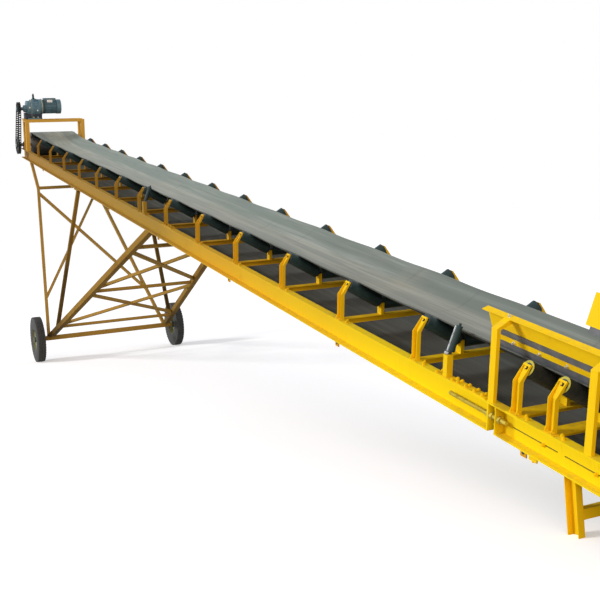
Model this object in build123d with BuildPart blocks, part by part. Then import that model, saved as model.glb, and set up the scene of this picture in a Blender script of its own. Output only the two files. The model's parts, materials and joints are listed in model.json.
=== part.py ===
"""Portable belt conveyor: a troughed belt on channel stringers, carried up an incline by a
braced leg frame on two road wheels, with a chain drive at the head and skirts at the tail.

Deck coordinates: u runs along the deck towards the tail from the first head idler, y runs
across it, and n is square to it, with n = 0 on top of the stringers. Lengths are in mm.
"""
import math
import os

from build123d import *

# Carriage: the axle's place under the deck, the wheels and the height of the tail legs
axle_u = 2816
axle_drop = 2997
wheel_y = 1290
tyre_radius = 410
tyre_width = 150
tail_leg_height = 357

# Stringers: main channels from the head to the splice, and tail channels behind it
head_overhang = 1780
splice_reach = 945
splice_gap = 95
tail_length = 2010
stringer_height = 200
stringer_flange = 73
stringer_web = 7
stringer_flange_wall = 11
tip_margin = 25.5

# Belt and drums
belt_width = 900
belt_thickness = 10
belt_height = 169
trough_angle = 30
trough_flat = 340
drum_margin = 57
drum_wall = 20
drum_shaft_radius = 35
head_drum_setback = 280
head_drum_radius = 250
head_drum_height = 100
tail_drum_setback = 260
tail_drum_radius = 200
tail_drum_height = 70
head_transition = 1150
tail_transition = 520
return_drop = 170
bearing_base_wall = 20

# Idlers
idler_pitch = 1200
idler_count = 13
impact_setbacks = (1590, 1250, tail_transition + 60)
return_count = 7
return_head_reach = 1900
return_tail_reach = 1490
roller_radius = 54
roller_shaft_radius = 11
roller_gap = 4
angle_leg = 63
angle_wall = 6
bracket_wall = 5
bracket_width = 68
bracket_gap = 6
bracket_inset = 20
bracket_flange = 28
inner_bracket_wall = 6
inner_bracket_width = 68
inner_bracket_depth = 30

# Drive
gantry_row_reaches = (160, 420)
gantry_post = 76
gantry_wall = 6
gantry_height = 650
gantry_rail_height = 50
base_plate_wall = 16
drive_axis_rise = 214
motor_radius = 145
motor_rise = 36
motor_length = 400
cowl_length = 90
reducer_radius = 165
reducer_length = 370
chain_offset = 172
chain_pitch = 50.8
driver_teeth = 15
driven_teeth = 22
chain_width = 64
chain_depth = 46
chain_plate = 6
chain_roller_radius = 14
sprocket_wall = 28

# Loading skirts, leaning outwards
skirt_length = 2250
skirt_overrun = 150
skirt_base_y = 392
skirt_base_n = 342
skirt_lean = 18
skirt_slope_height = 245
skirt_wall = 6
skirt_lip = 45
skirt_post_setbacks = (1833, 904, 150)
skirt_post_width = 60
skirt_post_depth = 28
rubber_wall = 10
rubber_top = 106
clamp_wall = 8
clamp_height = 35
clamp_rise = 46

# Leg frame
main_leg = 84
main_leg_top_u = 7670
front_leg = 54
front_leg_top_u = -850
front_kink_share = 0.83
foot_y = 1095
post_top_u = 3460
post_width = 60
brace_width = 46
tube_wall = 6
axle_square = 80
spindle_radius = 30
tail_leg_reach = 710
tail_leg_width = 100
tail_leg_flange = 48
tow_reach = 130
tow_wall = 25
tow_width = 110
tow_hole_radius = 20
clearance = 0.3

# Places along the deck
head_end_u = -head_overhang
idler_us = [index * idler_pitch for index in range(idler_count)]
splice_u = idler_us[-1] + splice_reach
tail_start_u = splice_u + splice_gap
tail_end_u = tail_start_u + tail_length
head_drum_u = head_end_u + head_drum_setback
tail_drum_u = tail_end_u - tail_drum_setback
impact_us = [tail_drum_u - setback for setback in impact_setbacks]
return_head_u = head_drum_u + return_head_reach
return_tail_u = tail_drum_u - return_tail_reach
return_pitch = (return_tail_u - return_head_u) / (return_count - 1)
return_us = [return_tail_u - index * return_pitch for index in range(return_count)]
tail_leg_u = tail_start_u + tail_leg_reach

# The incline is what the leg frame and the tail legs make of it when they stand on the floor
leg_rise = axle_drop - stringer_height
leg_reach = tail_leg_u - axle_u
foot_drop = tyre_radius - tail_leg_height
slope = math.acos(-foot_drop / math.hypot(leg_rise, leg_reach)) - math.atan2(leg_reach, leg_rise)
deck_height = tyre_radius + axle_u * math.sin(slope) + axle_drop * math.cos(slope)
low_head_x = head_end_u * math.cos(slope) - stringer_height * math.sin(slope)
high_tail_x = (tail_end_u + tow_reach) * math.cos(slope) + (tow_wall - stringer_height) * math.sin(slope)
shift_x = -(low_head_x + high_tail_x) / 2

along = Vector(math.cos(slope), 0, -math.sin(slope))
across = Vector(0, 1, 0)
normal = Vector(math.sin(slope), 0, math.cos(slope))
deck_origin = Vector(shift_x, 0, deck_height)


def at(u, y, n):
    """World place of a point given in deck coordinates."""
    return deck_origin + along * u + across * y + normal * n


def deck_plane(n=0, u=0, y=0):
    """Plane along the deck: its x is u, its y is y, and it extrudes towards n."""
    return Plane(at(u, y, n), x_dir=along, z_dir=normal)


def section_plane(u):
    """Plane across the deck: its x is y, its y is n, and it extrudes towards the tail."""
    return Plane(at(u, 0, 0), x_dir=across, z_dir=along)


def side_plane(y):
    """Upright plane along the deck: its x is u, its y is n, and it extrudes towards -y."""
    return Plane(at(0, y, 0), x_dir=along, z_dir=-across)


def repeated(piece, places):
    """Copies of a piece made at u = 0, one at each place along the deck."""
    return [piece.moved(Location(along * place)) for place in places]


def save(piece, label):
    """Name a finished piece and write it as its own file."""
    piece.label = label
    export_step(piece, f"parts/{label}.step")


os.makedirs("parts", exist_ok=True)
sides = (("left", -1), ("right", 1))

# Trough: the wing rollers' axes, and the stringers' spacing that the brackets need
trough = math.radians(trough_angle)
half_flat = trough_flat / 2
half_belt = belt_width / 2
wing_length = half_belt - half_flat
edge_y = half_flat + wing_length * math.cos(trough)
edge_n = belt_height + wing_length * math.sin(trough)
roller_face = trough_flat - roller_gap
axis_depth = roller_radius + belt_thickness
centre_axis_n = belt_height - axis_depth
wing_base_y = half_flat + axis_depth * math.sin(trough)
wing_base_n = belt_height - axis_depth * math.cos(trough)
wing_start = 26
wing_end = wing_start + roller_face
bracket_in = wing_end + bracket_gap
bracket_out = bracket_in + bracket_wall


def wing_point(side, distance, rise=0):
    """Point by the wing roller's axis: distance along it from the trough's corner, rise off it."""
    y = wing_base_y + distance * math.cos(trough) - rise * math.sin(trough)
    n = wing_base_n + distance * math.sin(trough) + rise * math.cos(trough)
    return (side * y, n)


def mirrored(side, points):
    """Section points given for the right side, put on the given side."""
    return [(side * y, n) for y, n in points]


stringer_inner_y = wing_point(1, bracket_in)[0] + tip_margin
stringer_outer_y = stringer_inner_y + stringer_flange
stringer_mid_y = stringer_inner_y + stringer_flange / 2
drum_face = 2 * (stringer_inner_y - drum_margin)


def channel_section(inner_y, height, flange, web, wall, side):
    """Sketch of a channel standing on edge, its open side outwards, in a section plane."""
    with BuildSketch() as profile:
        with Locations((side * (inner_y + flange / 2), -height / 2)):
            Rectangle(flange, height)
        with Locations((side * (inner_y + web + (flange - web) / 2), -height / 2)):
            Rectangle(flange - web, height - 2 * wall, mode=Mode.SUBTRACT)
    return profile.sketch


# Stringers: two main channels, and two slotted tail channels whose top flanges bridge the splice
stringer_shape = (stringer_height, stringer_flange, stringer_web, stringer_flange_wall)
web_slot_height = 9
web_slot_n = -118
web_slots = ((320, 440), (755, 310))  # each slot's middle past the splice, and length
for name, side in sides:
    with BuildPart() as main_stringer:
        with BuildSketch(section_plane(head_end_u)):
            add(channel_section(stringer_inner_y, *stringer_shape, side))
        extrude(amount=splice_u - head_end_u)
    save(main_stringer.part, f"{name}_main_stringer")
with BuildPart() as tail_stringers:
    for name, side in sides:
        with BuildSketch(section_plane(tail_start_u)):
            add(channel_section(stringer_inner_y, *stringer_shape, side))
        extrude(amount=tail_length)
        with BuildSketch(section_plane(splice_u)):
            with Locations((side * stringer_mid_y, -stringer_flange_wall / 2)):
                Rectangle(stringer_flange, stringer_flange_wall)
        extrude(amount=splice_gap)
    with BuildSketch(side_plane(0)):
        for reach, length in web_slots:
            with Locations((tail_start_u + reach, web_slot_n)):
                SlotOverall(length, web_slot_height)
    extrude(amount=stringer_outer_y, both=True, mode=Mode.SUBTRACT)
save(tail_stringers.part, "tail_stringers")

# Splice plates: an end plate on each channel, with the take-up screw through both
splice_plate = 12
screw_radius = 14
screw_y = stringer_inner_y + 45
screw_n = -95
screw_reach = 465
screw_end = 80
nut_radius = 26
nut_length = 24
plate_height = stringer_height - stringer_flange_wall
with BuildPart() as splice_plates:
    for name, side in sides:
        for start in (splice_u, tail_start_u - splice_plate):
            with BuildSketch(section_plane(start)):
                with Locations((side * stringer_mid_y, plate_height / 2 - stringer_height)):
                    Rectangle(stringer_flange, plate_height)
                with Locations((side * screw_y, screw_n)):
                    Circle(screw_radius + clearance, mode=Mode.SUBTRACT)
            extrude(amount=splice_plate)
save(splice_plates.part, "splice_plates")
with BuildPart() as screws:
    for name, side in sides:
        with BuildSketch(section_plane(splice_u - screw_reach)):
            with Locations((side * screw_y, screw_n)):
                Circle(screw_radius)
        extrude(amount=screw_reach + splice_gap + screw_end)
        for start in (splice_u - nut_length, splice_u + splice_plate, tail_start_u):
            with BuildSketch(section_plane(start)):
                with Locations((side * screw_y, screw_n)):
                    RegularPolygon(nut_radius, 6)
            extrude(amount=nut_length)
save(screws.part, "take_up_screws")

# Idler sets: a cross angle with inner plates and tapered wing brackets, fused into one frame
tip_rise = 26
tip_below = 4
tip_flange = 8
bracket_in_y = stringer_inner_y + bracket_inset
bracket_out_y = bracket_in_y + bracket_wall
bracket_tip_y = bracket_out_y + bracket_flange
foot_out_y = stringer_outer_y - 2
foot_flare = 42
notch_width = 26
notch_height = 26
knee_drop = (bracket_in_y - wing_point(1, bracket_in)[0]) / math.sin(trough)
knee_n = wing_point(1, bracket_in, -knee_drop)[1]
slot_half = roller_shaft_radius + clearance
shaft_hole_n = centre_axis_n - slot_half
inner_bracket_y = half_flat + 6
inner_bracket_mid = inner_bracket_y + inner_bracket_depth / 2
inner_bracket_top = centre_axis_n + 6
inner_bracket_height = inner_bracket_top - angle_wall
bracket_profile = [
    (bracket_in_y, 0),
    (bracket_in_y, knee_n),
    wing_point(1, bracket_in, tip_rise),
    wing_point(1, bracket_out + tip_flange, tip_rise),
    (bracket_tip_y, knee_n),
    (bracket_tip_y, foot_flare),
    (foot_out_y, 0),
]
bracket_hollow = [
    (bracket_out_y, -1),
    (bracket_out_y, knee_n),
    wing_point(1, bracket_out, tip_rise),
    wing_point(1, bracket_out, 2 * tip_rise),
    (foot_out_y + 1, knee_n),
    (foot_out_y + 1, -1),
]
foot_notch = [
    (foot_out_y - notch_width - 8, 0),
    (foot_out_y - notch_width / 2 - 8, notch_height),
    (foot_out_y - 8, 0),
]
with BuildPart() as idler_frame:
    for name, side in sides:
        with BuildSketch(section_plane(0)):
            Polygon(*mirrored(side, bracket_profile), align=None)
            Polygon(*mirrored(side, foot_notch), align=None, mode=Mode.SUBTRACT)
        extrude(amount=bracket_width / 2, both=True)
        with BuildSketch(section_plane(0)):
            Polygon(*mirrored(side, bracket_hollow), align=None)
        extrude(amount=bracket_width / 2 - bracket_wall, both=True, mode=Mode.SUBTRACT)
        with BuildSketch(deck_plane(angle_wall, 0, side * inner_bracket_mid)):
            Rectangle(inner_bracket_width, inner_bracket_depth)
            Rectangle(
                inner_bracket_width - 2 * inner_bracket_wall,
                inner_bracket_depth - 2 * inner_bracket_wall,
                mode=Mode.SUBTRACT,
            )
        extrude(amount=inner_bracket_height)
        with BuildSketch(section_plane(0)):
            Polygon(
                wing_point(side, bracket_in - 1, -slot_half),
                wing_point(side, bracket_out + 1, -slot_half),
                wing_point(side, bracket_out + 1, 2 * tip_rise),
                wing_point(side, bracket_in - 1, 2 * tip_rise),
                align=None,
            )
            with Locations((side * inner_bracket_mid, shaft_hole_n + tip_rise)):
                Rectangle(inner_bracket_depth + 2, 2 * tip_rise)
        extrude(amount=slot_half, both=True, mode=Mode.SUBTRACT)
    with BuildSketch(deck_plane()):
        Rectangle(angle_leg, 2 * stringer_outer_y)
    extrude(amount=angle_wall)
    with BuildSketch(deck_plane()):
        with Locations((angle_wall / 2 - angle_leg / 2, 0)):
            Rectangle(angle_wall, 2 * (stringer_inner_y - clearance))
    extrude(amount=angle_wall - angle_leg)
impact_plate_width = 116
with BuildPart() as idler_frames:
    add(repeated(idler_frame.part, [*idler_us, *impact_us]))
    for impact_u in impact_us:
        with BuildSketch(deck_plane(0, impact_u)):
            Rectangle(impact_plate_width, 2 * stringer_outer_y)
        extrude(amount=angle_wall)
save(idler_frames.part, "idler_frames")


def wing_axis(side, distance):
    """Plane square to a wing roller's axis, extruding up the wing."""
    y, n = wing_point(side, distance)
    up_wing = across * (side * math.cos(trough)) + normal * math.sin(trough)
    return Plane(at(0, y, n), x_dir=along, z_dir=up_wing)


def centre_axis(y, n):
    """Plane square to a roller that lies straight across the deck."""
    return Plane(at(0, y, n), x_dir=along, z_dir=across)


# Rollers on their shafts: centre, wing and impact rollers, and the return rollers
centre_shaft = inner_bracket_y + inner_bracket_wall + 3
wing_shaft_start = -8
wing_shaft_end = bracket_out + 10
with BuildPart() as centre_roller:
    with BuildSketch(centre_axis(0, centre_axis_n)):
        Circle(roller_radius)
    extrude(amount=roller_face / 2, both=True)
    with BuildSketch(centre_axis(0, centre_axis_n)):
        Circle(roller_shaft_radius)
    extrude(amount=centre_shaft, both=True)
wing_roller = {}
for name, side in sides:
    with BuildPart() as roller:
        with BuildSketch(wing_axis(side, wing_start)):
            Circle(roller_radius)
        extrude(amount=roller_face)
        with BuildSketch(wing_axis(side, wing_shaft_start)):
            Circle(roller_shaft_radius)
        extrude(amount=wing_shaft_end - wing_shaft_start)
    wing_roller[name] = roller.part
with BuildPart() as wing_rollers:
    add(repeated(wing_roller["left"], idler_us))
    add(repeated(wing_roller["right"], idler_us))
save(wing_rollers.part, "wing_rollers")
with BuildPart() as centre_rollers:
    add(repeated(centre_roller.part, idler_us))
save(centre_rollers.part, "centre_rollers")
with BuildPart() as impact_rollers:
    for roller in (centre_roller.part, wing_roller["left"], wing_roller["right"]):
        add(repeated(roller, impact_us))
save(impact_rollers.part, "impact_rollers")

return_axis_n = -return_drop - roller_radius - clearance
hanger_wall = 8
hanger_width = 60
hanger_bottom_n = return_axis_n - 28
with BuildPart() as return_hangers:
    for hanger_u in return_us:
        for name, side in sides:
            with BuildSketch(side_plane(side * stringer_mid_y)):
                with Locations((hanger_u, (hanger_bottom_n - stringer_height) / 2)):
                    Rectangle(hanger_width, -stringer_height - hanger_bottom_n)
                with Locations((hanger_u, return_axis_n)):
                    Circle(roller_shaft_radius + clearance, mode=Mode.SUBTRACT)
            extrude(amount=hanger_wall / 2, both=True)
save(return_hangers.part, "return_roller_hangers")
with BuildPart() as return_rollers:
    for roller_u in return_us:
        for radius, reach in (
            (roller_radius, drum_face / 2),
            (roller_shaft_radius, stringer_mid_y + hanger_wall),
        ):
            with BuildSketch(side_plane(0)):
                with Locations((roller_u, return_axis_n)):
                    Circle(radius)
            extrude(amount=reach, both=True)
save(return_rollers.part, "return_rollers")

# Belt: a troughed strand that flattens onto both drums, and the strand that runs back below
under_n = belt_height - belt_thickness
drop_y = belt_thickness * math.sin(trough)
drop_n = belt_thickness * math.cos(trough)


def drum_exit(drum_u, drum_n, radius, trough_u):
    """Belt station where the strand to the trough at trough_u touches the drum's top."""
    reach = abs(trough_u - drum_u)
    rise = under_n - drum_n
    turn = math.atan2(rise, reach) + math.acos(radius / math.hypot(reach, rise))
    offset = radius * math.cos(turn)
    low_n = drum_n + radius * math.sin(turn)
    top_n = drum_n + math.sqrt((radius + belt_thickness) ** 2 - offset**2)
    u = drum_u + math.copysign(offset, trough_u - drum_u)
    return (u, top_n, (half_belt, top_n), (half_belt, low_n), low_n)


def trough_station(u):
    """Belt station where the belt is fully troughed."""
    return (u, belt_height, (edge_y, edge_n), (edge_y + drop_y, edge_n - drop_n), under_n)


head_trough_u = head_drum_u + head_transition
tail_trough_u = tail_drum_u - tail_transition
head_exit = drum_exit(head_drum_u, head_drum_height, head_drum_radius, head_trough_u)
tail_exit = drum_exit(tail_drum_u, tail_drum_height, tail_drum_radius, tail_trough_u)
stations = [head_exit, trough_station(head_trough_u), trough_station(tail_trough_u), tail_exit]


def belt_panel(station, side):
    """Outline of the belt's left wing, centre or right wing (side -1, 0 or 1) at a station."""
    u, top_n, edge, under, low_n = station
    corners = [(-half_flat, top_n), (half_flat, top_n), (half_flat, low_n), (-half_flat, low_n)]
    if side:
        corners = mirrored(side, [(half_flat, top_n), edge, under, (half_flat, low_n)])
    with BuildSketch(section_plane(u)) as outline:
        Polygon(*corners, align=None)
    return outline.sketch


strand_n = -return_drop + belt_thickness
strand = [
    (head_drum_u, head_drum_height - head_drum_radius),
    (return_head_u, strand_n),
    (return_tail_u, strand_n),
    (tail_drum_u, tail_drum_height - tail_drum_radius),
]
drums = (
    ("head", head_drum_u, head_drum_height, head_drum_radius, head_exit[0], 1),
    ("tail", tail_drum_u, tail_drum_height, tail_drum_radius, tail_exit[0], -1),
)
with BuildPart() as belt:
    for side in (-1, 0, 1):
        for start, end in zip(stations, stations[1:]):
            add(belt_panel(start, side))
            add(belt_panel(end, side))
            loft(ruled=True)
    for name, drum_u, drum_n, radius, exit_u, inward in drums:
        with BuildSketch(side_plane(0)):
            with Locations((drum_u, drum_n)):
                Circle(radius + belt_thickness)
                Circle(radius, mode=Mode.SUBTRACT)
            with Locations((exit_u + inward * 2 * radius, drum_n + 2 * radius)):
                Rectangle(4 * radius, 4 * radius, mode=Mode.SUBTRACT)
            with Locations((drum_u + inward * 2 * radius, drum_n - 2 * radius)):
                Rectangle(4 * radius, 4 * radius, mode=Mode.SUBTRACT)
        extrude(amount=half_belt, both=True)
    with BuildSketch(side_plane(0)):
        Polygon(*strand, *[(u, n - belt_thickness) for u, n in reversed(strand)], align=None)
    extrude(amount=half_belt, both=True)
save(belt.part, "belt")

# Drums on their shafts, with pillow blocks on the stringers
block_width = 60
shaft_reach = stringer_mid_y + block_width / 2 + 25
sprocket_y = -stringer_inner_y - chain_offset
shaft_end = -sprocket_y + chain_width / 2 + 10
block_half = 2.2 * drum_shaft_radius
drum_end_inset = 40
for (name, drum_u, drum_n, radius, exit_u, inward), left_reach in zip(drums, (shaft_end, shaft_reach)):
    drum_radius = radius - clearance
    with BuildPart() as drum:
        with BuildSketch(side_plane(0)):
            with Locations((drum_u, drum_n)):
                Circle(drum_radius)
                Circle(drum_radius - drum_wall, mode=Mode.SUBTRACT)
        extrude(amount=drum_face / 2, both=True)
        for end in (-1, 1):
            with BuildSketch(side_plane(end * (drum_face / 2 - drum_end_inset))):
                with Locations((drum_u, drum_n)):
                    Circle(drum_radius - drum_wall)
            extrude(amount=end * drum_wall)
        with BuildSketch(side_plane(shaft_reach)):
            with Locations((drum_u, drum_n)):
                Circle(drum_shaft_radius)
        extrude(amount=shaft_reach + left_reach)
    save(drum.part, f"{name}_drum")
    with BuildPart() as blocks:
        for side_name, side in sides:
            with BuildSketch(side_plane(side * stringer_mid_y)):
                with Locations((drum_u, bearing_base_wall / 2)):
                    Rectangle(2 * block_half, bearing_base_wall)
                with Locations((drum_u, drum_n / 2)):
                    Rectangle(3 * drum_shaft_radius, drum_n)
                with Locations((drum_u, drum_n)):
                    Circle(1.75 * drum_shaft_radius)
                with Locations((drum_u, -block_half)):
                    Rectangle(4 * block_half, 2 * block_half, mode=Mode.SUBTRACT)
                with Locations((drum_u, drum_n)):
                    Circle(drum_shaft_radius + clearance / 3, mode=Mode.SUBTRACT)
            extrude(amount=block_width / 2, both=True)
    save(blocks.part, f"{name}_bearings")

# Edge guides, on the left only: leaning rollers on channel posts with a base plate
guide_us = (6 * idler_pitch + 250, splice_u - 525)
guide_radius = 24
guide_tilt = math.radians(20)
guide_shaft_radius = 10
guide_length = 190
guide_foot_y = stringer_inner_y + 23
guide_foot_n = 180
guide_post = 50
guide_wall = 5
guide_post_y = stringer_inner_y + guide_post / 2 + 11
guide_post_top = guide_foot_n - 20
guide_plate = 8
guide_plate_length = 240
with BuildPart() as guide_posts:
    for guide_u in guide_us:
        for name, side in sides[:1]:
            with BuildSketch(deck_plane(0, guide_u, side * stringer_mid_y)):
                Rectangle(guide_plate_length, stringer_flange)
            extrude(amount=guide_plate)
            with BuildSketch(deck_plane(guide_plate, guide_u, side * guide_post_y)):
                Rectangle(guide_post, guide_post)
                with Locations((0, -side * guide_wall)):
                    Rectangle(guide_post - 2 * guide_wall, guide_post, mode=Mode.SUBTRACT)
            extrude(amount=guide_post_top - guide_plate)
            with BuildSketch(deck_plane(guide_post_top, guide_u, side * guide_post_y)):
                Rectangle(guide_post, guide_post)
            extrude(amount=guide_wall)
save(guide_posts.part, "edge_guide_posts")
guide_shaft_start = guide_foot_n - 12
guide_roller_start = 18
with BuildPart() as guide_rollers:
    for guide_u in guide_us:
        for name, side in sides[:1]:
            rise = across * (-side * math.sin(guide_tilt)) + normal * math.cos(guide_tilt)
            foot = Plane(at(guide_u, side * guide_foot_y, guide_shaft_start), x_dir=along, z_dir=rise)
            with BuildSketch(foot):
                Circle(guide_shaft_radius)
            extrude(amount=guide_length + 2 * guide_roller_start)
            with BuildSketch(foot.offset(guide_roller_start)):
                Circle(guide_radius)
            extrude(amount=guide_length)
            split(bisect_by=deck_plane(guide_post_top + guide_wall + clearance), keep=Keep.TOP)
save(guide_rollers.part, "edge_guide_rollers")

# Drive gantry: four posts, rails round the top and the base plate of the drive
gantry_rows = [head_drum_u + reach for reach in gantry_row_reaches]
gantry_mid_u = sum(gantry_rows) / 2
gantry_length = gantry_rows[1] - gantry_rows[0]
rail_low_n = gantry_height - gantry_rail_height
drive_y = -(stringer_mid_y + gantry_post / 2)
reducer_end_y = drive_y + reducer_length
reducer_base_n = gantry_height + base_plate_wall
drive_axis_n = reducer_base_n + drive_axis_rise
motor_axis_n = drive_axis_n + motor_rise
with BuildPart() as gantry:
    for row_u in gantry_rows:
        for name, side in sides:
            with BuildSketch(deck_plane(0, row_u, side * stringer_mid_y)):
                Rectangle(gantry_post, gantry_post)
                Rectangle(gantry_post - 2 * gantry_wall, gantry_post - 2 * gantry_wall, mode=Mode.SUBTRACT)
            extrude(amount=rail_low_n)
        with BuildSketch(deck_plane(rail_low_n, row_u)):
            Rectangle(gantry_post, 2 * stringer_mid_y + gantry_post)
        extrude(amount=gantry_rail_height)
    for name, side in sides:
        with BuildSketch(deck_plane(rail_low_n, gantry_mid_u, side * stringer_mid_y)):
            Rectangle(gantry_length, gantry_post)
        extrude(amount=gantry_rail_height)
    with BuildSketch(deck_plane(gantry_height, gantry_mid_u, (drive_y + reducer_end_y) / 2)):
        Rectangle(gantry_length + gantry_post, reducer_length + 2 * base_plate_wall)
    extrude(amount=base_plate_wall)
save(gantry.part, "drive_gantry")

# Reducer and motor, in line across the deck above the left stringer
foot_wall = 25
reducer_steps = (  # radius, axis height, start and end of each step of the housing from the chain side
    (0.45 * reducer_radius, drive_axis_n, 0, 60),
    (reducer_radius, drive_axis_n, 60, 150),
    (1.12 * reducer_radius, drive_axis_n, 150, 200),
    (reducer_radius, drive_axis_n, 200, 330),
    (1.1 * motor_radius, motor_axis_n, 300, reducer_length),
)
foot_start = reducer_steps[1][2]
foot_end = reducer_steps[3][3]
with BuildPart() as reducer:
    for radius, axis_n, start, end in reducer_steps:
        with BuildSketch(side_plane(drive_y + start)):
            with Locations((gantry_mid_u, axis_n)):
                Circle(radius)
        extrude(amount=start - end)
    with BuildSketch(side_plane(drive_y + foot_start)):
        with Locations((gantry_mid_u, (reducer_base_n + drive_axis_n) / 2)):
            Rectangle(1.7 * reducer_radius, drive_axis_rise)
        with Locations((gantry_mid_u, reducer_base_n + foot_wall / 2)):
            Rectangle(2 * reducer_radius, foot_wall)
    extrude(amount=foot_start - foot_end)
    with BuildSketch(side_plane(drive_y)):
        with Locations((gantry_mid_u, drive_axis_n)):
            Circle(drum_shaft_radius)
    extrude(amount=drive_y + shaft_end)
save(reducer.part, "gear_reducer")
fin_height = 20
fin_wall = 6
fin_count = 28
box_length = 110
box_width = 250
box_rise = 22
box_middle = 175
cowl_lip = 6
with BuildPart() as motor:
    with BuildSketch(side_plane(reducer_end_y)):
        with Locations((gantry_mid_u, motor_axis_n)):
            Circle(motor_radius - fin_height)
            with PolarLocations((motor_radius - fin_height) / 2, fin_count):
                Rectangle(motor_radius + fin_height, fin_wall)
    extrude(amount=cowl_length - motor_length)
    with BuildSketch(deck_plane(motor_axis_n, gantry_mid_u, reducer_end_y + box_middle)):
        Rectangle(box_length, box_width)
    extrude(amount=motor_radius + box_rise)
save(motor.part, "motor")
with BuildPart() as cowl:
    with BuildSketch(side_plane(reducer_end_y + motor_length - cowl_length)):
        with Locations((gantry_mid_u, motor_axis_n)):
            Circle(motor_radius + cowl_lip)
    extrude(amount=-cowl_length)
save(cowl.part, "motor_fan_cowl")

# Chain drive down to the head drum's shaft: toothed sprockets, and a chain of plates and rollers
driver_radius = chain_pitch * driver_teeth / (2 * math.pi)
driven_radius = chain_pitch * driven_teeth / (2 * math.pi)
sprockets = (
    (gantry_mid_u, drive_axis_n, driver_radius, driver_teeth),
    (head_drum_u, head_drum_height, driven_radius, driven_teeth),
)
tooth_root = chain_roller_radius + clearance
tooth_tip = 5
chain_span = math.hypot(gantry_mid_u - head_drum_u, drive_axis_n - head_drum_height)
chain_tilt = math.degrees(math.atan2(drive_axis_n - head_drum_height, gantry_mid_u - head_drum_u))
lean = math.degrees(math.asin((driven_radius - driver_radius) / chain_span))
straight = chain_span * math.cos(math.radians(lean))
driver_arc = driver_radius * math.radians(180 - 2 * lean)
driven_arc = driven_radius * math.radians(180 + 2 * lean)
chain_length = 2 * straight + driver_arc + driven_arc
link_count = 2 * round(chain_length / (2 * chain_pitch))
link = chain_length / link_count


def around(sprocket, degrees):
    """Point on a sprocket's pitch circle, in a side plane."""
    u, n, radius, teeth = sprocket
    return (u + radius * math.cos(math.radians(degrees)), n + radius * math.sin(math.radians(degrees)))


def chain_point(travel):
    """Point on the chain's pitch line, by distance travelled from the driver's front tangent."""
    driver, driven = sprockets
    front = chain_tilt - 90 + lean
    back = chain_tilt + 90 - lean
    if travel < driver_arc:
        return around(driver, front + math.degrees(travel / driver_radius))
    travel -= driver_arc
    if travel < straight:
        first = Vector(*around(driver, back))
        return tuple(first + (Vector(*around(driven, back)) - first) * (travel / straight))[:2]
    travel -= straight
    if travel < driven_arc:
        return around(driven, back + math.degrees(travel / driven_radius))
    travel -= driven_arc
    first = Vector(*around(driven, front))
    return tuple(first + (Vector(*around(driver, front)) - first) * (travel / straight))[:2]


def first_tooth(sprocket, wrap_middle):
    """Angle of a tooth halfway past the chain roller nearest the middle of the sprocket's wrap."""
    u, n, radius, teeth = sprocket
    roller_u, roller_n = chain_point(round(wrap_middle / link) * link)
    return math.degrees(math.atan2(roller_n - n, roller_u - u)) + 180 / teeth


wrap_middles = (driver_arc / 2, driver_arc + straight + driven_arc / 2)
with BuildPart() as chain_sprockets:
    for sprocket, wrap_middle in zip(sprockets, wrap_middles):
        u, n, radius, teeth = sprocket
        with BuildSketch(side_plane(sprocket_y)):
            with Locations((u, n)):
                Circle(radius - tooth_root)
                with PolarLocations(radius - tooth_root, teeth, first_tooth(sprocket, wrap_middle)):
                    Trapezoid(chain_pitch - 2 * tooth_root, tooth_root + tooth_tip, 70, rotation=-90)
                Circle(drum_shaft_radius + clearance / 3, mode=Mode.SUBTRACT)
        extrude(amount=sprocket_wall / 2, both=True)
        with BuildSketch(side_plane(sprocket_y)):
            with Locations((u, n)):
                Circle(1.7 * drum_shaft_radius)
                Circle(drum_shaft_radius + clearance / 3, mode=Mode.SUBTRACT)
        extrude(amount=chain_width / 2, both=True)
save(chain_sprockets.part, "chain_sprockets")
with BuildPart() as chain:
    with BuildSketch(side_plane(sprocket_y)):
        for u, n, radius, teeth in sprockets:
            with Locations((u, n)):
                Circle(radius + chain_depth / 2)
        make_hull()
    extrude(amount=chain_width / 2, both=True)
    with BuildSketch(side_plane(sprocket_y)):
        for u, n, radius, teeth in sprockets:
            with Locations((u, n)):
                Circle(radius - chain_depth / 2)
        make_hull()
    extrude(amount=chain_width, both=True, mode=Mode.SUBTRACT)
    with BuildSketch(side_plane(sprocket_y)):
        for u, n, radius, teeth in sprockets:
            with Locations((u, n)):
                Circle(radius + chain_depth)
        make_hull()
    extrude(amount=chain_width / 2 - chain_plate, both=True, mode=Mode.SUBTRACT)
    with BuildSketch(side_plane(sprocket_y)):
        with Locations(*[chain_point(index * link) for index in range(link_count)]):
            Circle(chain_roller_radius)
    extrude(amount=chain_width / 2 - chain_plate, both=True)
save(chain.part, "drive_chain")

# Loading skirts: leaning boards with a lip, rubber strips, clamp bars, posts and the back plate
skirt_end_u = tail_drum_u + skirt_overrun
skirt_start_u = skirt_end_u - skirt_length
skirt_post_us = [tail_drum_u - setback for setback in skirt_post_setbacks]
skirt_turn = math.radians(skirt_lean)


def board_point(rise, out):
    """Section point by the board's inner face: distance up it from its foot, and out from it."""
    y = skirt_base_y + rise * math.sin(skirt_turn) + out * math.cos(skirt_turn)
    n = skirt_base_n + rise * math.cos(skirt_turn) - out * math.sin(skirt_turn)
    return (y, n)


def rise_above_belt(out):
    """Distance along the board, at a given depth outside it, where it would meet the belt's wing."""
    y, n = board_point(0, out)
    height = n - belt_height - (y - half_flat) * math.tan(trough) - clearance
    return -height / (math.cos(skirt_turn) - math.sin(skirt_turn) * math.tan(trough))


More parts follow.
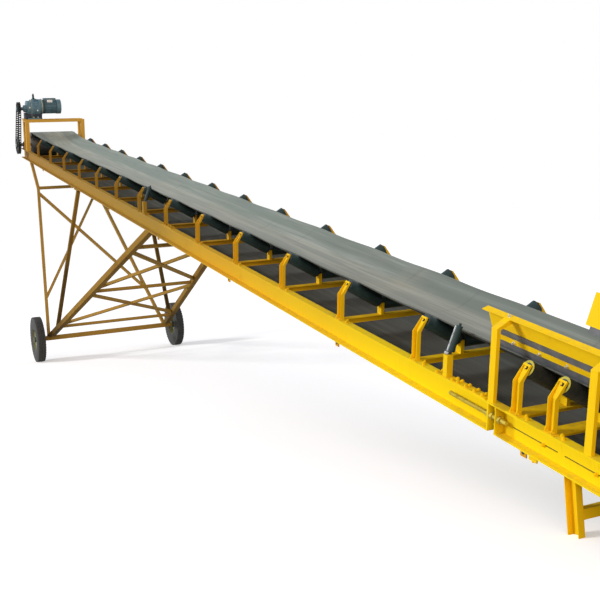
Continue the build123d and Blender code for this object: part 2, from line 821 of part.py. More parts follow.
board_lip = skirt_wall + skirt_lip
board_profile = [
    board_point(0, 0),
    board_point(skirt_slope_height, 0),
    board_point(skirt_slope_height, board_lip),
    board_point(skirt_slope_height - skirt_wall, board_lip),
    board_point(skirt_slope_height - skirt_wall, skirt_wall),
    board_point(0, skirt_wall),
]
rubber_out = skirt_wall + rubber_wall
rubber_profile = [
    board_point(rise_above_belt(skirt_wall), skirt_wall),
    board_point(rubber_top, skirt_wall),
    board_point(rubber_top, rubber_out),
    board_point(rise_above_belt(rubber_out), rubber_out),
]
clamp_profile = [
    board_point(clamp_rise - clamp_height / 2, rubber_out),
    board_point(clamp_rise + clamp_height / 2, rubber_out),
    board_point(clamp_rise + clamp_height / 2, rubber_out + clamp_wall),
    board_point(clamp_rise - clamp_height / 2, rubber_out + clamp_wall),
]
post_out_y = stringer_outer_y - 13
post_in_y = post_out_y - skirt_post_depth
arm_low = skirt_slope_height - skirt_wall - 30
post_profile = [
    (post_in_y, 0),
    (post_out_y, 0),
    (post_out_y, board_point(skirt_slope_height, board_lip)[1] - 56),
    board_point(skirt_slope_height - skirt_wall, board_lip),
    board_point(skirt_slope_height - skirt_wall, skirt_wall),
    board_point(arm_low, skirt_wall),
    (post_in_y, board_point(arm_low, skirt_wall)[1] - 45),
]
skirt_runs = (
    ("skirt_boards", board_profile, 0),
    ("skirt_rubbers", rubber_profile, skirt_lip),
    ("skirt_clamp_bars", clamp_profile, 2 * skirt_lip),
)
for label, outline, inset in skirt_runs:
    with BuildPart() as run:
        for name, side in sides:
            with BuildSketch(section_plane(skirt_start_u + inset)):
                Polygon(*mirrored(side, outline), align=None)
            extrude(amount=skirt_end_u - skirt_start_u - inset)
    save(run.part, label)
with BuildPart() as skirt_posts:
    for post_u in skirt_post_us:
        for name, side in sides:
            with BuildSketch(section_plane(post_u)):
                Polygon(*mirrored(side, post_profile), align=None)
            extrude(amount=skirt_post_width / 2, both=True)
save(skirt_posts.part, "skirt_posts")
back_low_n = tail_exit[1] + 15
back_low_rise = (back_low_n - skirt_base_n) / math.cos(skirt_turn)
back_profile = [board_point(back_low_rise, 0), board_point(skirt_slope_height, 0)]
with BuildPart() as back_plate:
    with BuildSketch(section_plane(skirt_end_u - skirt_wall)):
        Polygon(*back_profile, *reversed(mirrored(-1, back_profile)), align=None)
    extrude(amount=skirt_wall)
save(back_plate.part, "skirt_back_plate")

# Tail cross member, an angle between the stringers with the tow lug welded to it
tow_hole_u = tail_end_u + tow_reach - tow_width / 2
tow_plate_length = tow_hole_u - tail_end_u + angle_leg
with BuildPart() as tail_member:
    with BuildSketch(side_plane(0)):
        with Locations((tail_end_u - angle_leg / 2, angle_wall / 2 - stringer_height)):
            Rectangle(angle_leg, angle_wall)
        with Locations((tail_end_u - angle_wall / 2, angle_leg / 2 - stringer_height)):
            Rectangle(angle_wall, angle_leg)
    extrude(amount=stringer_inner_y, both=True)
    with BuildSketch(deck_plane(-stringer_height)):
        with Locations((tow_hole_u - tow_plate_length / 2, 0)):
            Rectangle(tow_plate_length, tow_width)
        with Locations((tow_hole_u, 0)):
            Circle(tow_width / 2)
            Circle(tow_hole_radius, mode=Mode.SUBTRACT)
    extrude(amount=tow_wall)
save(tail_member.part, "tail_cross_member")

# Tail legs: upright channels open outwards, with a cross angle between them
tail_leg_x = at(tail_leg_u, 0, -stringer_height).X
tail_leg_y = stringer_inner_y + 8
leg_mid_y = tail_leg_y + tail_leg_flange / 2
leg_wall = 6
tie_z = 160
with BuildPart() as tail_legs:
    for name, side in sides:
        with BuildSketch(Plane.XY):
            with Locations((tail_leg_x, side * leg_mid_y)):
                Rectangle(tail_leg_width, tail_leg_flange)
            with Locations((tail_leg_x, side * (leg_mid_y + leg_wall))):
                Rectangle(tail_leg_width - 2 * leg_wall, tail_leg_flange, mode=Mode.SUBTRACT)
        extrude(amount=deck_height)
    split(bisect_by=deck_plane(-stringer_height), keep=Keep.BOTTOM)
    with BuildSketch(Plane.XZ):
        with Locations((tail_leg_x, tie_z - leg_wall / 2)):
            Rectangle(angle_leg, leg_wall)
        with Locations((tail_leg_x + angle_leg / 2 - leg_wall / 2, tie_z - angle_leg / 2)):
            Rectangle(leg_wall, angle_leg)
    extrude(amount=tail_leg_y, both=True)
save(tail_legs.part, "tail_legs")


def beam(start, end, width, wall=0):
    """Square tube from one deck point to another, or a solid bar where wall is zero."""
    first = at(*start)
    last = at(*end)
    plane = Plane(first, x_dir=across.cross(last - first), z_dir=last - first)
    with BuildPart() as tube:
        with BuildSketch(plane):
            Rectangle(width, width)
            if wall:
                Rectangle(width - 2 * wall, width - 2 * wall, mode=Mode.SUBTRACT)
        extrude(amount=(last - first).length)
    return tube.part


def beyond(start, end, share):
    """Point on the line through two deck points, by share of the way."""
    return tuple(a + (b - a) * share for a, b in zip(start, end))


# Leg frame: main legs, front legs with a knee, posts, braces and the axle beam
leg_top_y = stringer_mid_y
axle_x = at(axle_u, 0, -axle_drop).X
axle_top = Plane.XY.offset(tyre_radius + axle_square / 2)
under_deck = deck_plane(-stringer_height)
post_share = 0.11
envelopes = []
posts = []
for name, side in sides:
    foot = (axle_u, side * foot_y, -axle_drop)
    main_top = (main_leg_top_u, side * leg_top_y, -stringer_height)
    front_top = (front_leg_top_u, side * leg_top_y, -stringer_height)
    knee_u, knee_y, knee_low = beyond(foot, front_top, front_kink_share)
    knee = (knee_u, side * leg_top_y, knee_low)
    leg_line = (beyond(foot, main_top, -0.1), beyond(foot, main_top, 1.1))
    main_solid = beam(*leg_line, main_leg)
    with BuildPart() as leg:
        add(beam(*leg_line, main_leg, tube_wall))
        split(bisect_by=axle_top, keep=Keep.TOP)
        split(bisect_by=under_deck, keep=Keep.BOTTOM)
    save(leg.part, f"{name}_main_leg")
    front_solid = beam(foot, beyond(foot, knee, 1.01), front_leg)
    front_solid += beam(beyond(front_top, knee, 1.02), beyond(knee, front_top, 1.2), front_leg)
    with BuildPart() as front:
        add(front_solid)
        add(main_solid, mode=Mode.SUBTRACT)
        split(bisect_by=axle_top, keep=Keep.TOP)
        split(bisect_by=under_deck, keep=Keep.BOTTOM)
    save(Part() + front.part.solids().sort_by(SortBy.VOLUME)[-1], f"{name}_front_leg")
    post_top = (post_top_u, side * leg_top_y, -stringer_height)
    with BuildPart() as post:
        add(beam(beyond(foot, main_top, post_share), beyond(foot, post_top, 1.05), post_width))
        add(main_solid, mode=Mode.SUBTRACT)
        split(bisect_by=under_deck, keep=Keep.BOTTOM)
    posts.append(post.part.solids().sort_by(SortBy.VOLUME)[-1])
    envelopes += [main_solid, front_solid, post.part]
save(Part() + posts, "deck_posts")
collar_reach = wheel_y - 65
spindle_reach = wheel_y + 40
with BuildPart() as axle:
    with BuildSketch(Plane.XZ.offset(-foot_y - main_leg / 2)):
        with Locations((axle_x, tyre_radius)):
            Rectangle(axle_square, axle_square)
    extrude(amount=2 * foot_y + main_leg)
    for radius, reach in ((axle_square / 2, collar_reach), (spindle_radius, spindle_reach)):
        with BuildSketch(Plane.XZ.offset(-reach)):
            with Locations((axle_x, tyre_radius)):
                Circle(radius)
        extrude(amount=2 * reach)
save(axle.part, "axle_beam")


def lattice(top_u, knee_share, members):
    """Flat lattice of square bars between two legs, as (side, share) pairs from the axle up."""
    rise = along * (top_u - axle_u) + normal * (axle_drop - stringer_height)
    plane = Plane(at(axle_u, 0, -axle_drop), x_dir=across, z_dir=across.cross(rise))

    def corner(side, share):
        width = foot_y + (leg_top_y - foot_y) * min(share / knee_share, 1)
        return Vector(side * width, share * rise.length)

    with BuildPart() as bars:
        with BuildSketch(plane):
            for start, end in members:
                first = corner(*start)
                last = corner(*end)
                middle = (first + last) / 2
                turn = math.degrees(math.atan2(last.Y - first.Y, last.X - first.X))
                with Locations(Location((middle.X, middle.Y, 0), (0, 0, turn))):
                    Rectangle((last - first).length, brace_width)
        extrude(amount=brace_width / 2, both=True)
        for envelope in envelopes:
            add(envelope, mode=Mode.SUBTRACT)
    return bars.part


def crossed(low, high):
    """Two lattice members that cross between two heights, as (side, share) pairs."""
    return [((-1, low), (1, high)), ((-1, high), (1, low))]


main_members = [((-1, share), (1, share)) for share in (0.14, 0.51, 0.88)]
main_members += crossed(0.17, 0.48) + crossed(0.54, 0.85)
save(lattice(main_leg_top_u, 1, main_members), "main_leg_braces")
front_members = [((-1, front_kink_share), (1, front_kink_share))]
front_members += crossed(0.2, 0.8)
save(lattice(front_leg_top_u, front_kink_share, front_members), "front_leg_braces")

# Wheels: hub on its spindle, rim and tyre
rim_radius = 203
rim_width = 106
rim_wall = 8
rim_flange = 28
hub_radius = 62
hub_flange = 100
disc_start = 20
disc_wall = 10
bead_height = 20
bore_radius = spindle_radius + 0.05
cap_start = spindle_reach - wheel_y + 2
hub_profile = [  # distance outwards from the tyre's middle, and radius
    (-60, bore_radius),
    (cap_start, bore_radius),
    (cap_start, 0),
    (cap_start + 30, 0),
    (cap_start + 30, 48),
    (disc_start, 52),
    (disc_start, hub_flange),
    (disc_start - 14, hub_flange),
    (disc_start - 14, hub_radius),
    (-60, hub_radius),
]
for name, side in sides:
    centre = at(axle_u, side * wheel_y, -axle_drop)
    outward = Vector(0, side, 0)
    wheel_axis = Axis(centre, outward)
    wheel_plane = Plane(centre, x_dir=outward, z_dir=outward.cross(Vector(0, 0, 1)))
    with BuildPart() as hub:
        with BuildSketch(wheel_plane):
            Polygon(*hub_profile, align=None)
        revolve(axis=wheel_axis)
    save(hub.part, f"{name}_wheel_hub")
    with BuildPart() as rim:
        with BuildSketch(wheel_plane):
            with Locations((0, rim_radius - rim_wall / 2)):
                Rectangle(rim_width + 2 * rim_wall, rim_wall)
            for end in (-1, 1):
                with Locations((end * (rim_width + rim_wall) / 2, rim_radius + rim_flange / 2 - 9)):
                    Rectangle(rim_wall, rim_flange)
            with Locations((disc_start + disc_wall / 2, (hub_radius + rim_radius - rim_wall) / 2)):
                Rectangle(disc_wall, rim_radius - rim_wall - hub_radius)
        revolve(axis=wheel_axis)
    save(rim.part, f"{name}_wheel_rim")
    half_bead = rim_width / 2
    half_tread = 0.4 * tyre_width
    shoulder = (half_tread + 8, tyre_radius - 22)
    tread_edge = (half_tread, tyre_radius - 6)
    bulge = (tyre_width / 2, 0.75 * tyre_radius)
    bead_top = (half_bead, rim_radius + bead_height)
    with BuildPart() as tyre:
        with BuildSketch(wheel_plane):
            with BuildLine():
                Line((-half_bead, rim_radius), (half_bead, rim_radius))
                for half in (-1, 1):
                    Line((half * half_bead, rim_radius), (half * half_bead, bead_top[1]))
                    ThreePointArc(*[(half * x, r) for x, r in (bead_top, bulge, shoulder)])
                    Line((half * shoulder[0], shoulder[1]), (half * half_tread, tread_edge[1]))
                ThreePointArc(tread_edge, (0, tyre_radius), (-half_tread, tread_edge[1]))
            make_face()
        revolve(axis=wheel_axis)
    save(tyre.part, f"{name}_tyre")
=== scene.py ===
"""Looks of a portable belt conveyor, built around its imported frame.

Sizes are in millimetres and places are in deck coordinates unless a name says otherwise: u runs
along the deck towards the tail, y across it and n square to it. World coordinates are in metres.
"""

from __future__ import annotations

import json
import logging
import math
from dataclasses import dataclass
from enum import Enum
from typing import Iterable, Sequence

import bmesh
import bpy
from mathutils import Matrix, Vector

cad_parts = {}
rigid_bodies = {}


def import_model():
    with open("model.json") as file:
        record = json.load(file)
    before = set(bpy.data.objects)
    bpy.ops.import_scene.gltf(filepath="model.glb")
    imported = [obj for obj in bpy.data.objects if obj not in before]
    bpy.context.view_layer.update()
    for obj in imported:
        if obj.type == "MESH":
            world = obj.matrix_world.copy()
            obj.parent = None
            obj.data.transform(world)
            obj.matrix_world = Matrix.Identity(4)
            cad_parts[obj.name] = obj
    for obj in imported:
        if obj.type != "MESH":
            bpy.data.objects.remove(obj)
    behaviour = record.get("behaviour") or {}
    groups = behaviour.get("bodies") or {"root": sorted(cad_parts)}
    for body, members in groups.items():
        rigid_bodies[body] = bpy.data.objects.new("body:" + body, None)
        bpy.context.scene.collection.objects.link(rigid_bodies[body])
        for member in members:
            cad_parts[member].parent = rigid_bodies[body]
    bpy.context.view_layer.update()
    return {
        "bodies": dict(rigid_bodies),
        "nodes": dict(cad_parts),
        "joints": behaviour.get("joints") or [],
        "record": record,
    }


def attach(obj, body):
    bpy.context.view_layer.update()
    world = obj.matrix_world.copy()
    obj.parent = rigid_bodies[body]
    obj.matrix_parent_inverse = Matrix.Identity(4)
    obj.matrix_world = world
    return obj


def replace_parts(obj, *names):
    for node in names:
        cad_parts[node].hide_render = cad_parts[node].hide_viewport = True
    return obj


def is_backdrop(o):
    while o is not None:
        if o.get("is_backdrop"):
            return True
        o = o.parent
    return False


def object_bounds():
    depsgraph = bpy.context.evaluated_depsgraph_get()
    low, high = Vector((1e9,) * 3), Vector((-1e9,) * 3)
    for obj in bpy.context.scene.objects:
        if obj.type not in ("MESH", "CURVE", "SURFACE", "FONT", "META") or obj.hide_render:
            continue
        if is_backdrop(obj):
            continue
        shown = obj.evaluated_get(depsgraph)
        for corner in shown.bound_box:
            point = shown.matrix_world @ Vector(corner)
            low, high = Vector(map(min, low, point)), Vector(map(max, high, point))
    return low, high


LOG = logging.getLogger("conveyor")
MM = 0.001
BOTH = (-1, 1)
SIDE_SIGNS = {"left": -1, "right": 1}
PHOTO_WIDTH_PX = 600
SHARP_ANGLE = math.radians(38)
ALONG = (1, 0, 0)
UP = (0, 0, 1)

Point = tuple[float, float]
Triple = tuple[float, float, float]
Tree = bpy.types.NodeTree
Node = bpy.types.Node
Socket = bpy.types.NodeSocket


def linear(colour: str) -> tuple[float, float, float, float]:
    """Turn an sRGB hex colour into the linear values that shaders take.

    Args:
        colour: Six hex digits after a hash sign.

    Returns:
        Linear red, green and blue, and an opacity of 1.
    """
    channels = [int(colour[place : place + 2], 16) / 255 for place in (1, 3, 5)]
    return (*(c / 12.92 if c <= 0.04045 else ((c + 0.055) / 1.055) ** 2.4 for c in channels), 1.0)


def add_node(tree: Tree, kind: str, settings: dict | None = None, **inputs) -> Node:
    """Add one node to a tree with its settings, and link or set its inputs.

    Args:
        tree: Node tree that gets the node.
        kind: Blender's name for the node's type.
        settings: Values of the node's own properties.
        inputs: Sockets to link from, or values, by input name with spaces as underscores, or by
            position as _0, _1 and so on.

    Returns:
        The new node.
    """
    node = tree.nodes.new(kind)
    for key, value in (settings or {}).items():
        setattr(node, key, value)
    for key, value in inputs.items():
        place = key[1:] if key.startswith("_") else None
        socket = node.inputs[int(place)] if place else node.inputs[key.replace("_", " ")]
        if isinstance(value, bpy.types.NodeSocket):
            tree.links.new(value, socket)
        else:
            socket.default_value = value
    return node


def maths(tree: Tree, operation: str, *values: Socket | float) -> Socket:
    """Combine values by one operation of the math node."""
    inputs = {f"_{index}": value for index, value in enumerate(values)}
    return add_node(tree, "ShaderNodeMath", {"operation": operation}, **inputs).outputs[0]


# --- the deck's own axes -----------------------------------------------------------------------


@dataclass(frozen=True)
class Place:
    """Where a repeated part stands, in world metres.

    Attributes:
        point: Its origin.
        up: Direction of its z axis.
        side: Direction that its x axis comes near to.
    """

    point: Vector
    up: Vector
    side: Vector = Vector((1, 0, 0.001))

    def turn(self) -> Vector:
        """Give the place's rotation as Euler angles."""
        z = self.up.normalized()
        y = z.cross(self.side).normalized()
        return Vector(Matrix((y.cross(z), y, z)).transposed().to_euler())


@dataclass(frozen=True)
class Deck:
    """The conveyor's deck as a coordinate frame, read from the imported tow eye.

    Attributes:
        matrix: Deck metres to world metres.
    """

    matrix: Matrix

    @classmethod
    def from_tow_eye(cls, record: dict, eye_u: float = 17525, eye_n: float = -187.5) -> Deck:
        """Work the deck out from the tow eye's mount.

        Args:
            record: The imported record.
            eye_u: The eye's place along the deck.
            eye_n: The eye's height off the deck.

        Returns:
            The deck's frame.
        """
        eye = next(mount for mount in record["mounts"] if mount["name"] == "tow_eye")
        normal = Vector(eye["axis"]).normalized()
        along = Vector((normal.z, 0, -normal.x))
        origin = Vector(eye["pos_m"]) - along * eye_u * MM - normal * eye_n * MM
        axes = Matrix((along, Vector((0, 1, 0)), normal)).transposed()
        return cls(Matrix.Translation(origin) @ axes.to_4x4())

    def at(self, u: float, y: float, n: float) -> Vector:
        """Give the world place of a deck point."""
        return self.matrix @ Vector((u * MM, y * MM, n * MM))

    def way(self, u: float, y: float, n: float) -> Vector:
        """Give the world direction of a deck direction."""
        return (self.matrix.to_3x3() @ Vector((u, y, n))).normalized()

    def place(
        self, u: float, y: float, n: float, up: Triple = UP, side: Triple | None = None
    ) -> Place:
        """Give the place of a small part at a deck point.

        Args:
            u: Place along the deck.
            y: Place across it.
            n: Height off it.
            up: Deck direction of the part's z axis.
            side: Deck direction that the part's x axis comes near to, or None for the world's x.

        Returns:
            The place.
        """
        point, facing = self.at(u, y, n), self.way(*up)
        return Place(point, facing, self.way(*side)) if side else Place(point, facing)

    @property
    def slope(self) -> float:
        """Give the deck's incline in radians."""
        return math.atan2(self.matrix[0][2], self.matrix[2][2])


@dataclass(frozen=True)
class Trough:
    """The troughed belt's section, which the idlers share.

    Attributes:
        half_flat: Half of the belt's flat middle.
        wing: Length of the belt's wing.
        height: Top of the belt's flat middle.
        turn: The wing's angle in radians.
        thickness: The belt's thickness.
        roller_radius: Radius of every roller.
    """

    half_flat: float = 170
    wing: float = 280
    height: float = 169
    turn: float = math.radians(30)
    thickness: float = 10
    roller_radius: float = 54

    def wing_point(self, side: int, distance: float) -> Point:
        """Give the y and n of a point on the wing roller's axis.

        Args:
            side: -1 for the left side and 1 for the right.
            distance: Distance along the axis from the trough's corner.

        Returns:
            The y and n.
        """
        depth = self.roller_radius + self.thickness
        cos, sin = math.cos(self.turn), math.sin(self.turn)
        y = self.half_flat + depth * sin + distance * cos
        return side * y, self.height - depth * cos + distance * sin


# --- finishes ----------------------------------------------------------------------------------


@dataclass(frozen=True)
class Wiring:
    """Short calls that wire nodes to one material's shader.

    Attributes:
        tree: Node tree that gets the nodes.
        shader: Principled shader.
    """

    tree: Tree
    shader: Node

    def noise(self, place: Socket, size: float, detail: float = 4, rough: float = 0.55) -> Socket:
        """Add a noise whose patches are about a given size.

        Args:
            place: Coordinates in metres.
            size: Patch size in millimetres.
            detail: Octaves of finer noise.
            rough: Share of the finer octaves.

        Returns:
            The noise from 0 to 1.
        """
        node = add_node(
            self.tree, "ShaderNodeTexNoise",
            Vector=place, Scale=1 / (size * MM), Detail=detail, Roughness=rough,
        )
        return node.outputs["Fac"]

    def between(self, value: Socket, low: float, high: float) -> Socket:
        """Spread a value's range from low to high over 0 to 1, smoothly."""
        settings = {"interpolation_type": "SMOOTHSTEP"}
        return self.ranged(value, settings, From_Min=low, From_Max=high)

    def scaled(self, value: Socket, low: float, high: float) -> Socket:
        """Spread a value from 0 to 1 over low to high."""
        return self.ranged(value, To_Min=low, To_Max=high)

    def ranged(self, value: Socket, settings: dict | None = None, **limits: float) -> Socket:
        """Map a value from one range to another."""
        return add_node(
            self.tree, "ShaderNodeMapRange", settings, Value=value, **limits
        ).outputs["Result"]

    def times(self, first: Socket, second: Socket | float) -> Socket:
        """Multiply two values."""
        return maths(self.tree, "MULTIPLY", first, second)

    def tinted(
        self, base: Socket | tuple[float, ...], tint: Socket | str, share: Socket | float,
        blend: str = "MIX",
    ) -> Socket:
        """Blend a base colour with a tint.

        Args:
            base: Colour to start from.
            tint: Hex colour or socket to blend in.
            share: Share of the tint.
            blend: MIX, or MULTIPLY to deepen the base.

        Returns:
            The blended colour.
        """
        settings = {"data_type": "RGBA", "blend_type": blend}
        colour = linear(tint) if isinstance(tint, str) else tint
        mix = add_node(self.tree, "ShaderNodeMix", settings, _0=share, _6=base, _7=colour)
        return mix.outputs[2]

    def mapped(self, place: Socket, **ways: Triple) -> Socket:
        """Turn or stretch coordinates."""
        return add_node(self.tree, "ShaderNodeMapping", Vector=place, **ways).outputs[0]

    def axis(self, vector: Socket, name: str) -> Socket:
        """Give one part of a vector."""
        return add_node(self.tree, "ShaderNodeSeparateXYZ", Vector=vector).outputs[name]

    def facing(self) -> Socket:
        """Give the surface's normal."""
        return add_node(self.tree, "ShaderNodeNewGeometry").outputs["Normal"]

    def dress(self, **inputs: Socket | float) -> None:
        """Link or set the shader's inputs, by name with spaces as underscores."""
        for name, value in inputs.items():
            socket = self.shader.inputs[name.replace("_", " ")]
            if isinstance(value, bpy.types.NodeSocket):
                self.tree.links.new(value, socket)
            else:
                socket.default_value = value

    def bump(self, *layers: tuple[Socket, float]) -> None:
        """Wire bump layers to the shader.

        Args:
            layers: Height from 0 to 1, and its depth in millimetres, for each layer.
        """
        below: dict[str, Socket] = {}
        for height, depth in layers:
            node = add_node(
                self.tree, "ShaderNodeBump",
                Height=height, Distance=depth * MM, Strength=1.0, **below,
            )
            below = {"Normal": node.outputs[0]}
        self.dress(**below)


@dataclass(frozen=True)
class Finish:
    """A surface finish that can make its own material.

    Attributes:
        name: Plain name of the material.
        slot: Material slot of the record; not used.
    """

    name: str
    slot: str

    def material(self) -> bpy.types.Material:
        """Make the material, or give it back if it is already there."""
        found = bpy.data.materials.get(self.name)
        if found:
            return found
        made = bpy.data.materials.new(self.name)
        made.use_nodes = True
        tree = made.node_tree
        tree.nodes.clear()
        shader = add_node(tree, "ShaderNodeBsdfPrincipled")
        add_node(tree, "ShaderNodeOutputMaterial", Surface=shader.outputs["BSDF"])
        self.shade(Wiring(tree, shader), add_node(tree, "ShaderNodeTexCoord").outputs["Object"])
        return made

    def shade(self, wires: Wiring, place: Socket) -> None:
        """Wire the finish's own nodes to the shader."""
        raise NotImplementedError


@dataclass(frozen=True)
class SprayedEnamel(Finish):
    """Alkyd enamel sprayed on rolled steel: even colour, orange peel, rust and dust in places.

    Attributes:
        fresh: Colour of the clean coat.
        thin: Colour where the coat is thin, or what deepens the coat's colour along the machine
            there.
        dust: Colour of the dust on faces that look up.
        thinness: Share of the surface where the coat is thin.
        dustiness: Share of dust on faces that look up.
        rust: Share of the surface with rust specks.
        gloss: Roughness of the clean coat.
        shine: Strength of the coat's mirror light.
        ages: World x in metres and the coat's colour there, from the head on: partly faded paint
            and partly painted shade.
        fresh_x: World x in metres from where the coat has its fresh colour.
        splice_band: World x in metres, half width and share of a browned band at the splice, partly
            thin paint and partly painted shade of its recess.
    """

    fresh: str
    thin: str
    dust: str = "#8F8468"
    thinness: float = 0.45
    dustiness: float = 0.25
    rust: float = 0.2
    gloss: float = 0.62
    shine: float = 0.12
    ages: tuple[tuple[float, str], ...] = ()
    fresh_x: float = 6.2
    splice_band: Triple = (0.0, 0.1, 0.0)

    def faded_and_shaded(self, wires: Wiring, place: Socket) -> Socket:
        """Give the coat's colour along the machine: partly faded paint and partly painted shade.

        Args:
            wires: Wiring of the material.
            place: Coordinates in metres.

        Returns:
            The colour.
        """
        wander = wires.scaled(wires.noise(place, 900, 3), -0.8, 0.8)
        x = maths(wires.tree, "ADD", wires.axis(place, "X"), wander)
        low, high = self.ages[0][0], self.fresh_x
        share = wires.ranged(x, From_Min=low, From_Max=high)
        ramp = add_node(wires.tree, "ShaderNodeValToRGB", _0=share)
        stops = ramp.color_ramp.elements
        for index, (at, colour) in enumerate((*self.ages, (high, self.fresh))):
            stop = stops[index] if index < 2 else stops.new(1.0)
            stop.position = (at - low) / (high - low)
            stop.color = linear(colour)
        return ramp.outputs["Color"]

    def shade(self, wires: Wiring, place: Socket) -> None:
        """Wire mottled paint, dust, run-down streaks, specks of rust and the sprayed texture."""
        patches = wires.noise(place, 420, 5, 0.6)
        blotch = wires.between(patches, 0.72 - 0.35 * self.thinness, 0.85)
        streaks = wires.noise(wires.mapped(place, Scale=(1, 1, 0.12)), 22, 3)
        runs = wires.between(streaks, 0.55, 0.8)
        # the coat's colour along the machine: partly faded paint and partly painted shade, darker
        # and browner away from the fresh coat
        colour = self.faded_and_shaded(wires, place) if self.ages else linear(self.fresh)
        for thin in (wires.times(blotch, 0.75), wires.times(runs, 0.3)):
            colour = wires.tinted(colour, self.thin, thin, "MULTIPLY" if self.ages else "MIX")
        lying = wires.between(wires.axis(wires.facing(), "Z"), 0.7, 0.95)
        grit = wires.between(wires.noise(place, 60, 6, 0.7), 0.35, 0.75)
        film = wires.times(wires.times(lying, grit), self.dustiness)
        colour = wires.tinted(colour, self.dust, film)
        speck = wires.between(wires.noise(place, 14, 3, 0.7), 0.74 - 0.06 * self.rust, 0.78)
        worn = wires.between(wires.noise(place, 260, 2), 0.55, 0.7)
        flaw = wires.times(wires.times(speck, worn), min(1.0, 3 * self.rust))
        # rust specks, then the browned band at the splice, partly painted shade of its recess
        colour = self.splice_banded(wires, place, wires.tinted(colour, "#6B3A17", flaw))
        matt = maths(wires.tree, "ADD", wires.times(lying, 0.18), self.gloss)
        rough = maths(wires.tree, "ADD", matt, wires.times(flaw, 0.3))
        wires.dress(Base_Color=colour, Roughness=rough, Specular_IOR_Level=self.shine)
        # orange peel is about 2 mm across; it is drawn 5 mm across so that it shows
        wires.bump((wires.noise(place, 5, 2), 0.12), (wires.noise(place, 90, 2), 0.8))

    def splice_banded(self, wires: Wiring, place: Socket, colour: Socket) -> Socket:
        """Brown a band of the coat across the machine, if it has one: thin paint and painted shade
        at the splice's recess.

        Args:
            wires: Wiring of the material.
            place: Coordinates in metres.
            colour: Colour of the coat.

        Returns:
            The colour with its band.
        """
        at, reach, share = self.splice_band
        if not share:
            return colour
        wander = wires.scaled(wires.noise(place, 60, 4), at - 0.03, at + 0.03)
        apart = maths(wires.tree, "SUBTRACT", wires.axis(place, "X"), wander)
        band = wires.between(maths(wires.tree, "ABSOLUTE", apart), reach, reach * 0.6)
        return wires.tinted(colour, "#A5610F", wires.times(band, share))


@dataclass(frozen=True)
class BeltRubber(Finish):
    """Calendered rubber cover: dust and long scuffs on top, a return strand darkened as painted
    shade.

    Attributes:
        slope: The deck's incline in radians.
        origin: World place of the deck's origin.
    """

    slope: float
    origin: Triple

    def shade(self, wires: Wiring, place: Socket) -> None:
        """Wire long streaks, dust, cross creases, and painted shade on the return strand, wings,
        edges and undersides.
        """
        tree, between, times, tinted = wires.tree, wires.between, wires.times, wires.tinted
        centred = add_node(
            tree, "ShaderNodeVectorMath", {"operation": "SUBTRACT"}, _0=place, _1=self.origin
        )
        deck = wires.mapped(centred.outputs[0], Rotation=(0, -self.slope, 0))
        wide = wires.noise(wires.mapped(deck, Scale=(0.045, 1, 1)), 90, 4)
        fine = wires.noise(wires.mapped(deck, Scale=(0.02, 1, 1)), 16, 3)
        patch = wires.noise(deck, 700, 5, 0.6)
        crease = between(wires.noise(wires.mapped(deck, Scale=(1, 0.07, 0.07)), 70, 2), 0.66, 0.72)
        colour = tinted(linear("#8B938A"), "#7B8077", between(wires.axis(deck, "X"), 6.0, 15.0))
        for tint, share in (
            ("#A3A69C", between(wide, 0.4, 0.75)),
            ("#6F746C", times(between(fine, 0.5, 0.75), 0.5)),
            ("#A09B8A", times(between(patch, 0.5, 0.8), 0.45)),
            ("#5C6058", times(crease, 0.2)),
        ):
            colour = tinted(colour, tint, share)
        # painted shade: below the deck the return strand turns dark grey, the shade under the
        # carrying strand, with lighter long streaks
        below = wires.ranged(wires.axis(deck, "Z"), From_Min=0.02, From_Max=-0.1)
        streaks = tinted(linear("#4A4B43"), "#6D6E64", times(between(wide, 0.45, 0.7), 0.6))
        colour = tinted(colour, streaks, below)
        # painted shade: past the flat middle the wings are deepened by a pale blue-grey, darker and
        # bluer
        out = maths(tree, "ABSOLUTE", wires.axis(deck, "Y"))
        colour = tinted(colour, "#D2DCE0", between(out, 0.16, 0.24), "MULTIPLY")
        normal = wires.facing()
        # painted shade: faces that look down are darkened nearly to black
        under = between(wires.axis(normal, "Z"), 0.3, -0.1)
        colour = tinted(colour, "#2B2C29", times(under, 0.9))
        # painted shade: the belt's edge faces, which look sideways, are darkened
        edge_shade = between(maths(tree, "ABSOLUTE", wires.axis(normal, "Y")), 0.62, 0.74)
        colour = tinted(colour, "#34362F", times(edge_shade, 0.9))
        wires.dress(Base_Color=colour, Roughness=wires.scaled(fine, 0.5, 0.78))
        wires.bump((wires.noise(deck, 4, 2), 0.15), (wide, 1.2), (crease, 0.25))


@dataclass(frozen=True)
class DarkRubber(Finish):
    """Moulded or extruded rubber: carbon black, matt, with a grey bloom of dust.

    Attributes:
        colour: Colour of the rubber.
        bloom: Colour of the dust on it.
        dusty: Share of dust.
        rough: Roughness.
        grain: Size of the surface's grain in millimetres.
    """

    colour: str
    bloom: str
    dusty: float = 0.5
    rough: float = 0.7
    grain: float = 3

    def shade(self, wires: Wiring, place: Socket) -> None:
        """Wire the rubber, its dust and its grain."""
        film = wires.between(wires.noise(place, 120, 6, 0.65), 0.35, 0.75)
        wires.dress(
            Base_Color=wires.tinted(
                linear(self.colour), self.bloom, wires.times(film, self.dusty)
            ),
            Roughness=wires.scaled(film, self.rough, self.rough + 0.12),
        )
        wires.bump((wires.noise(place, self.grain, 2), 0.2))


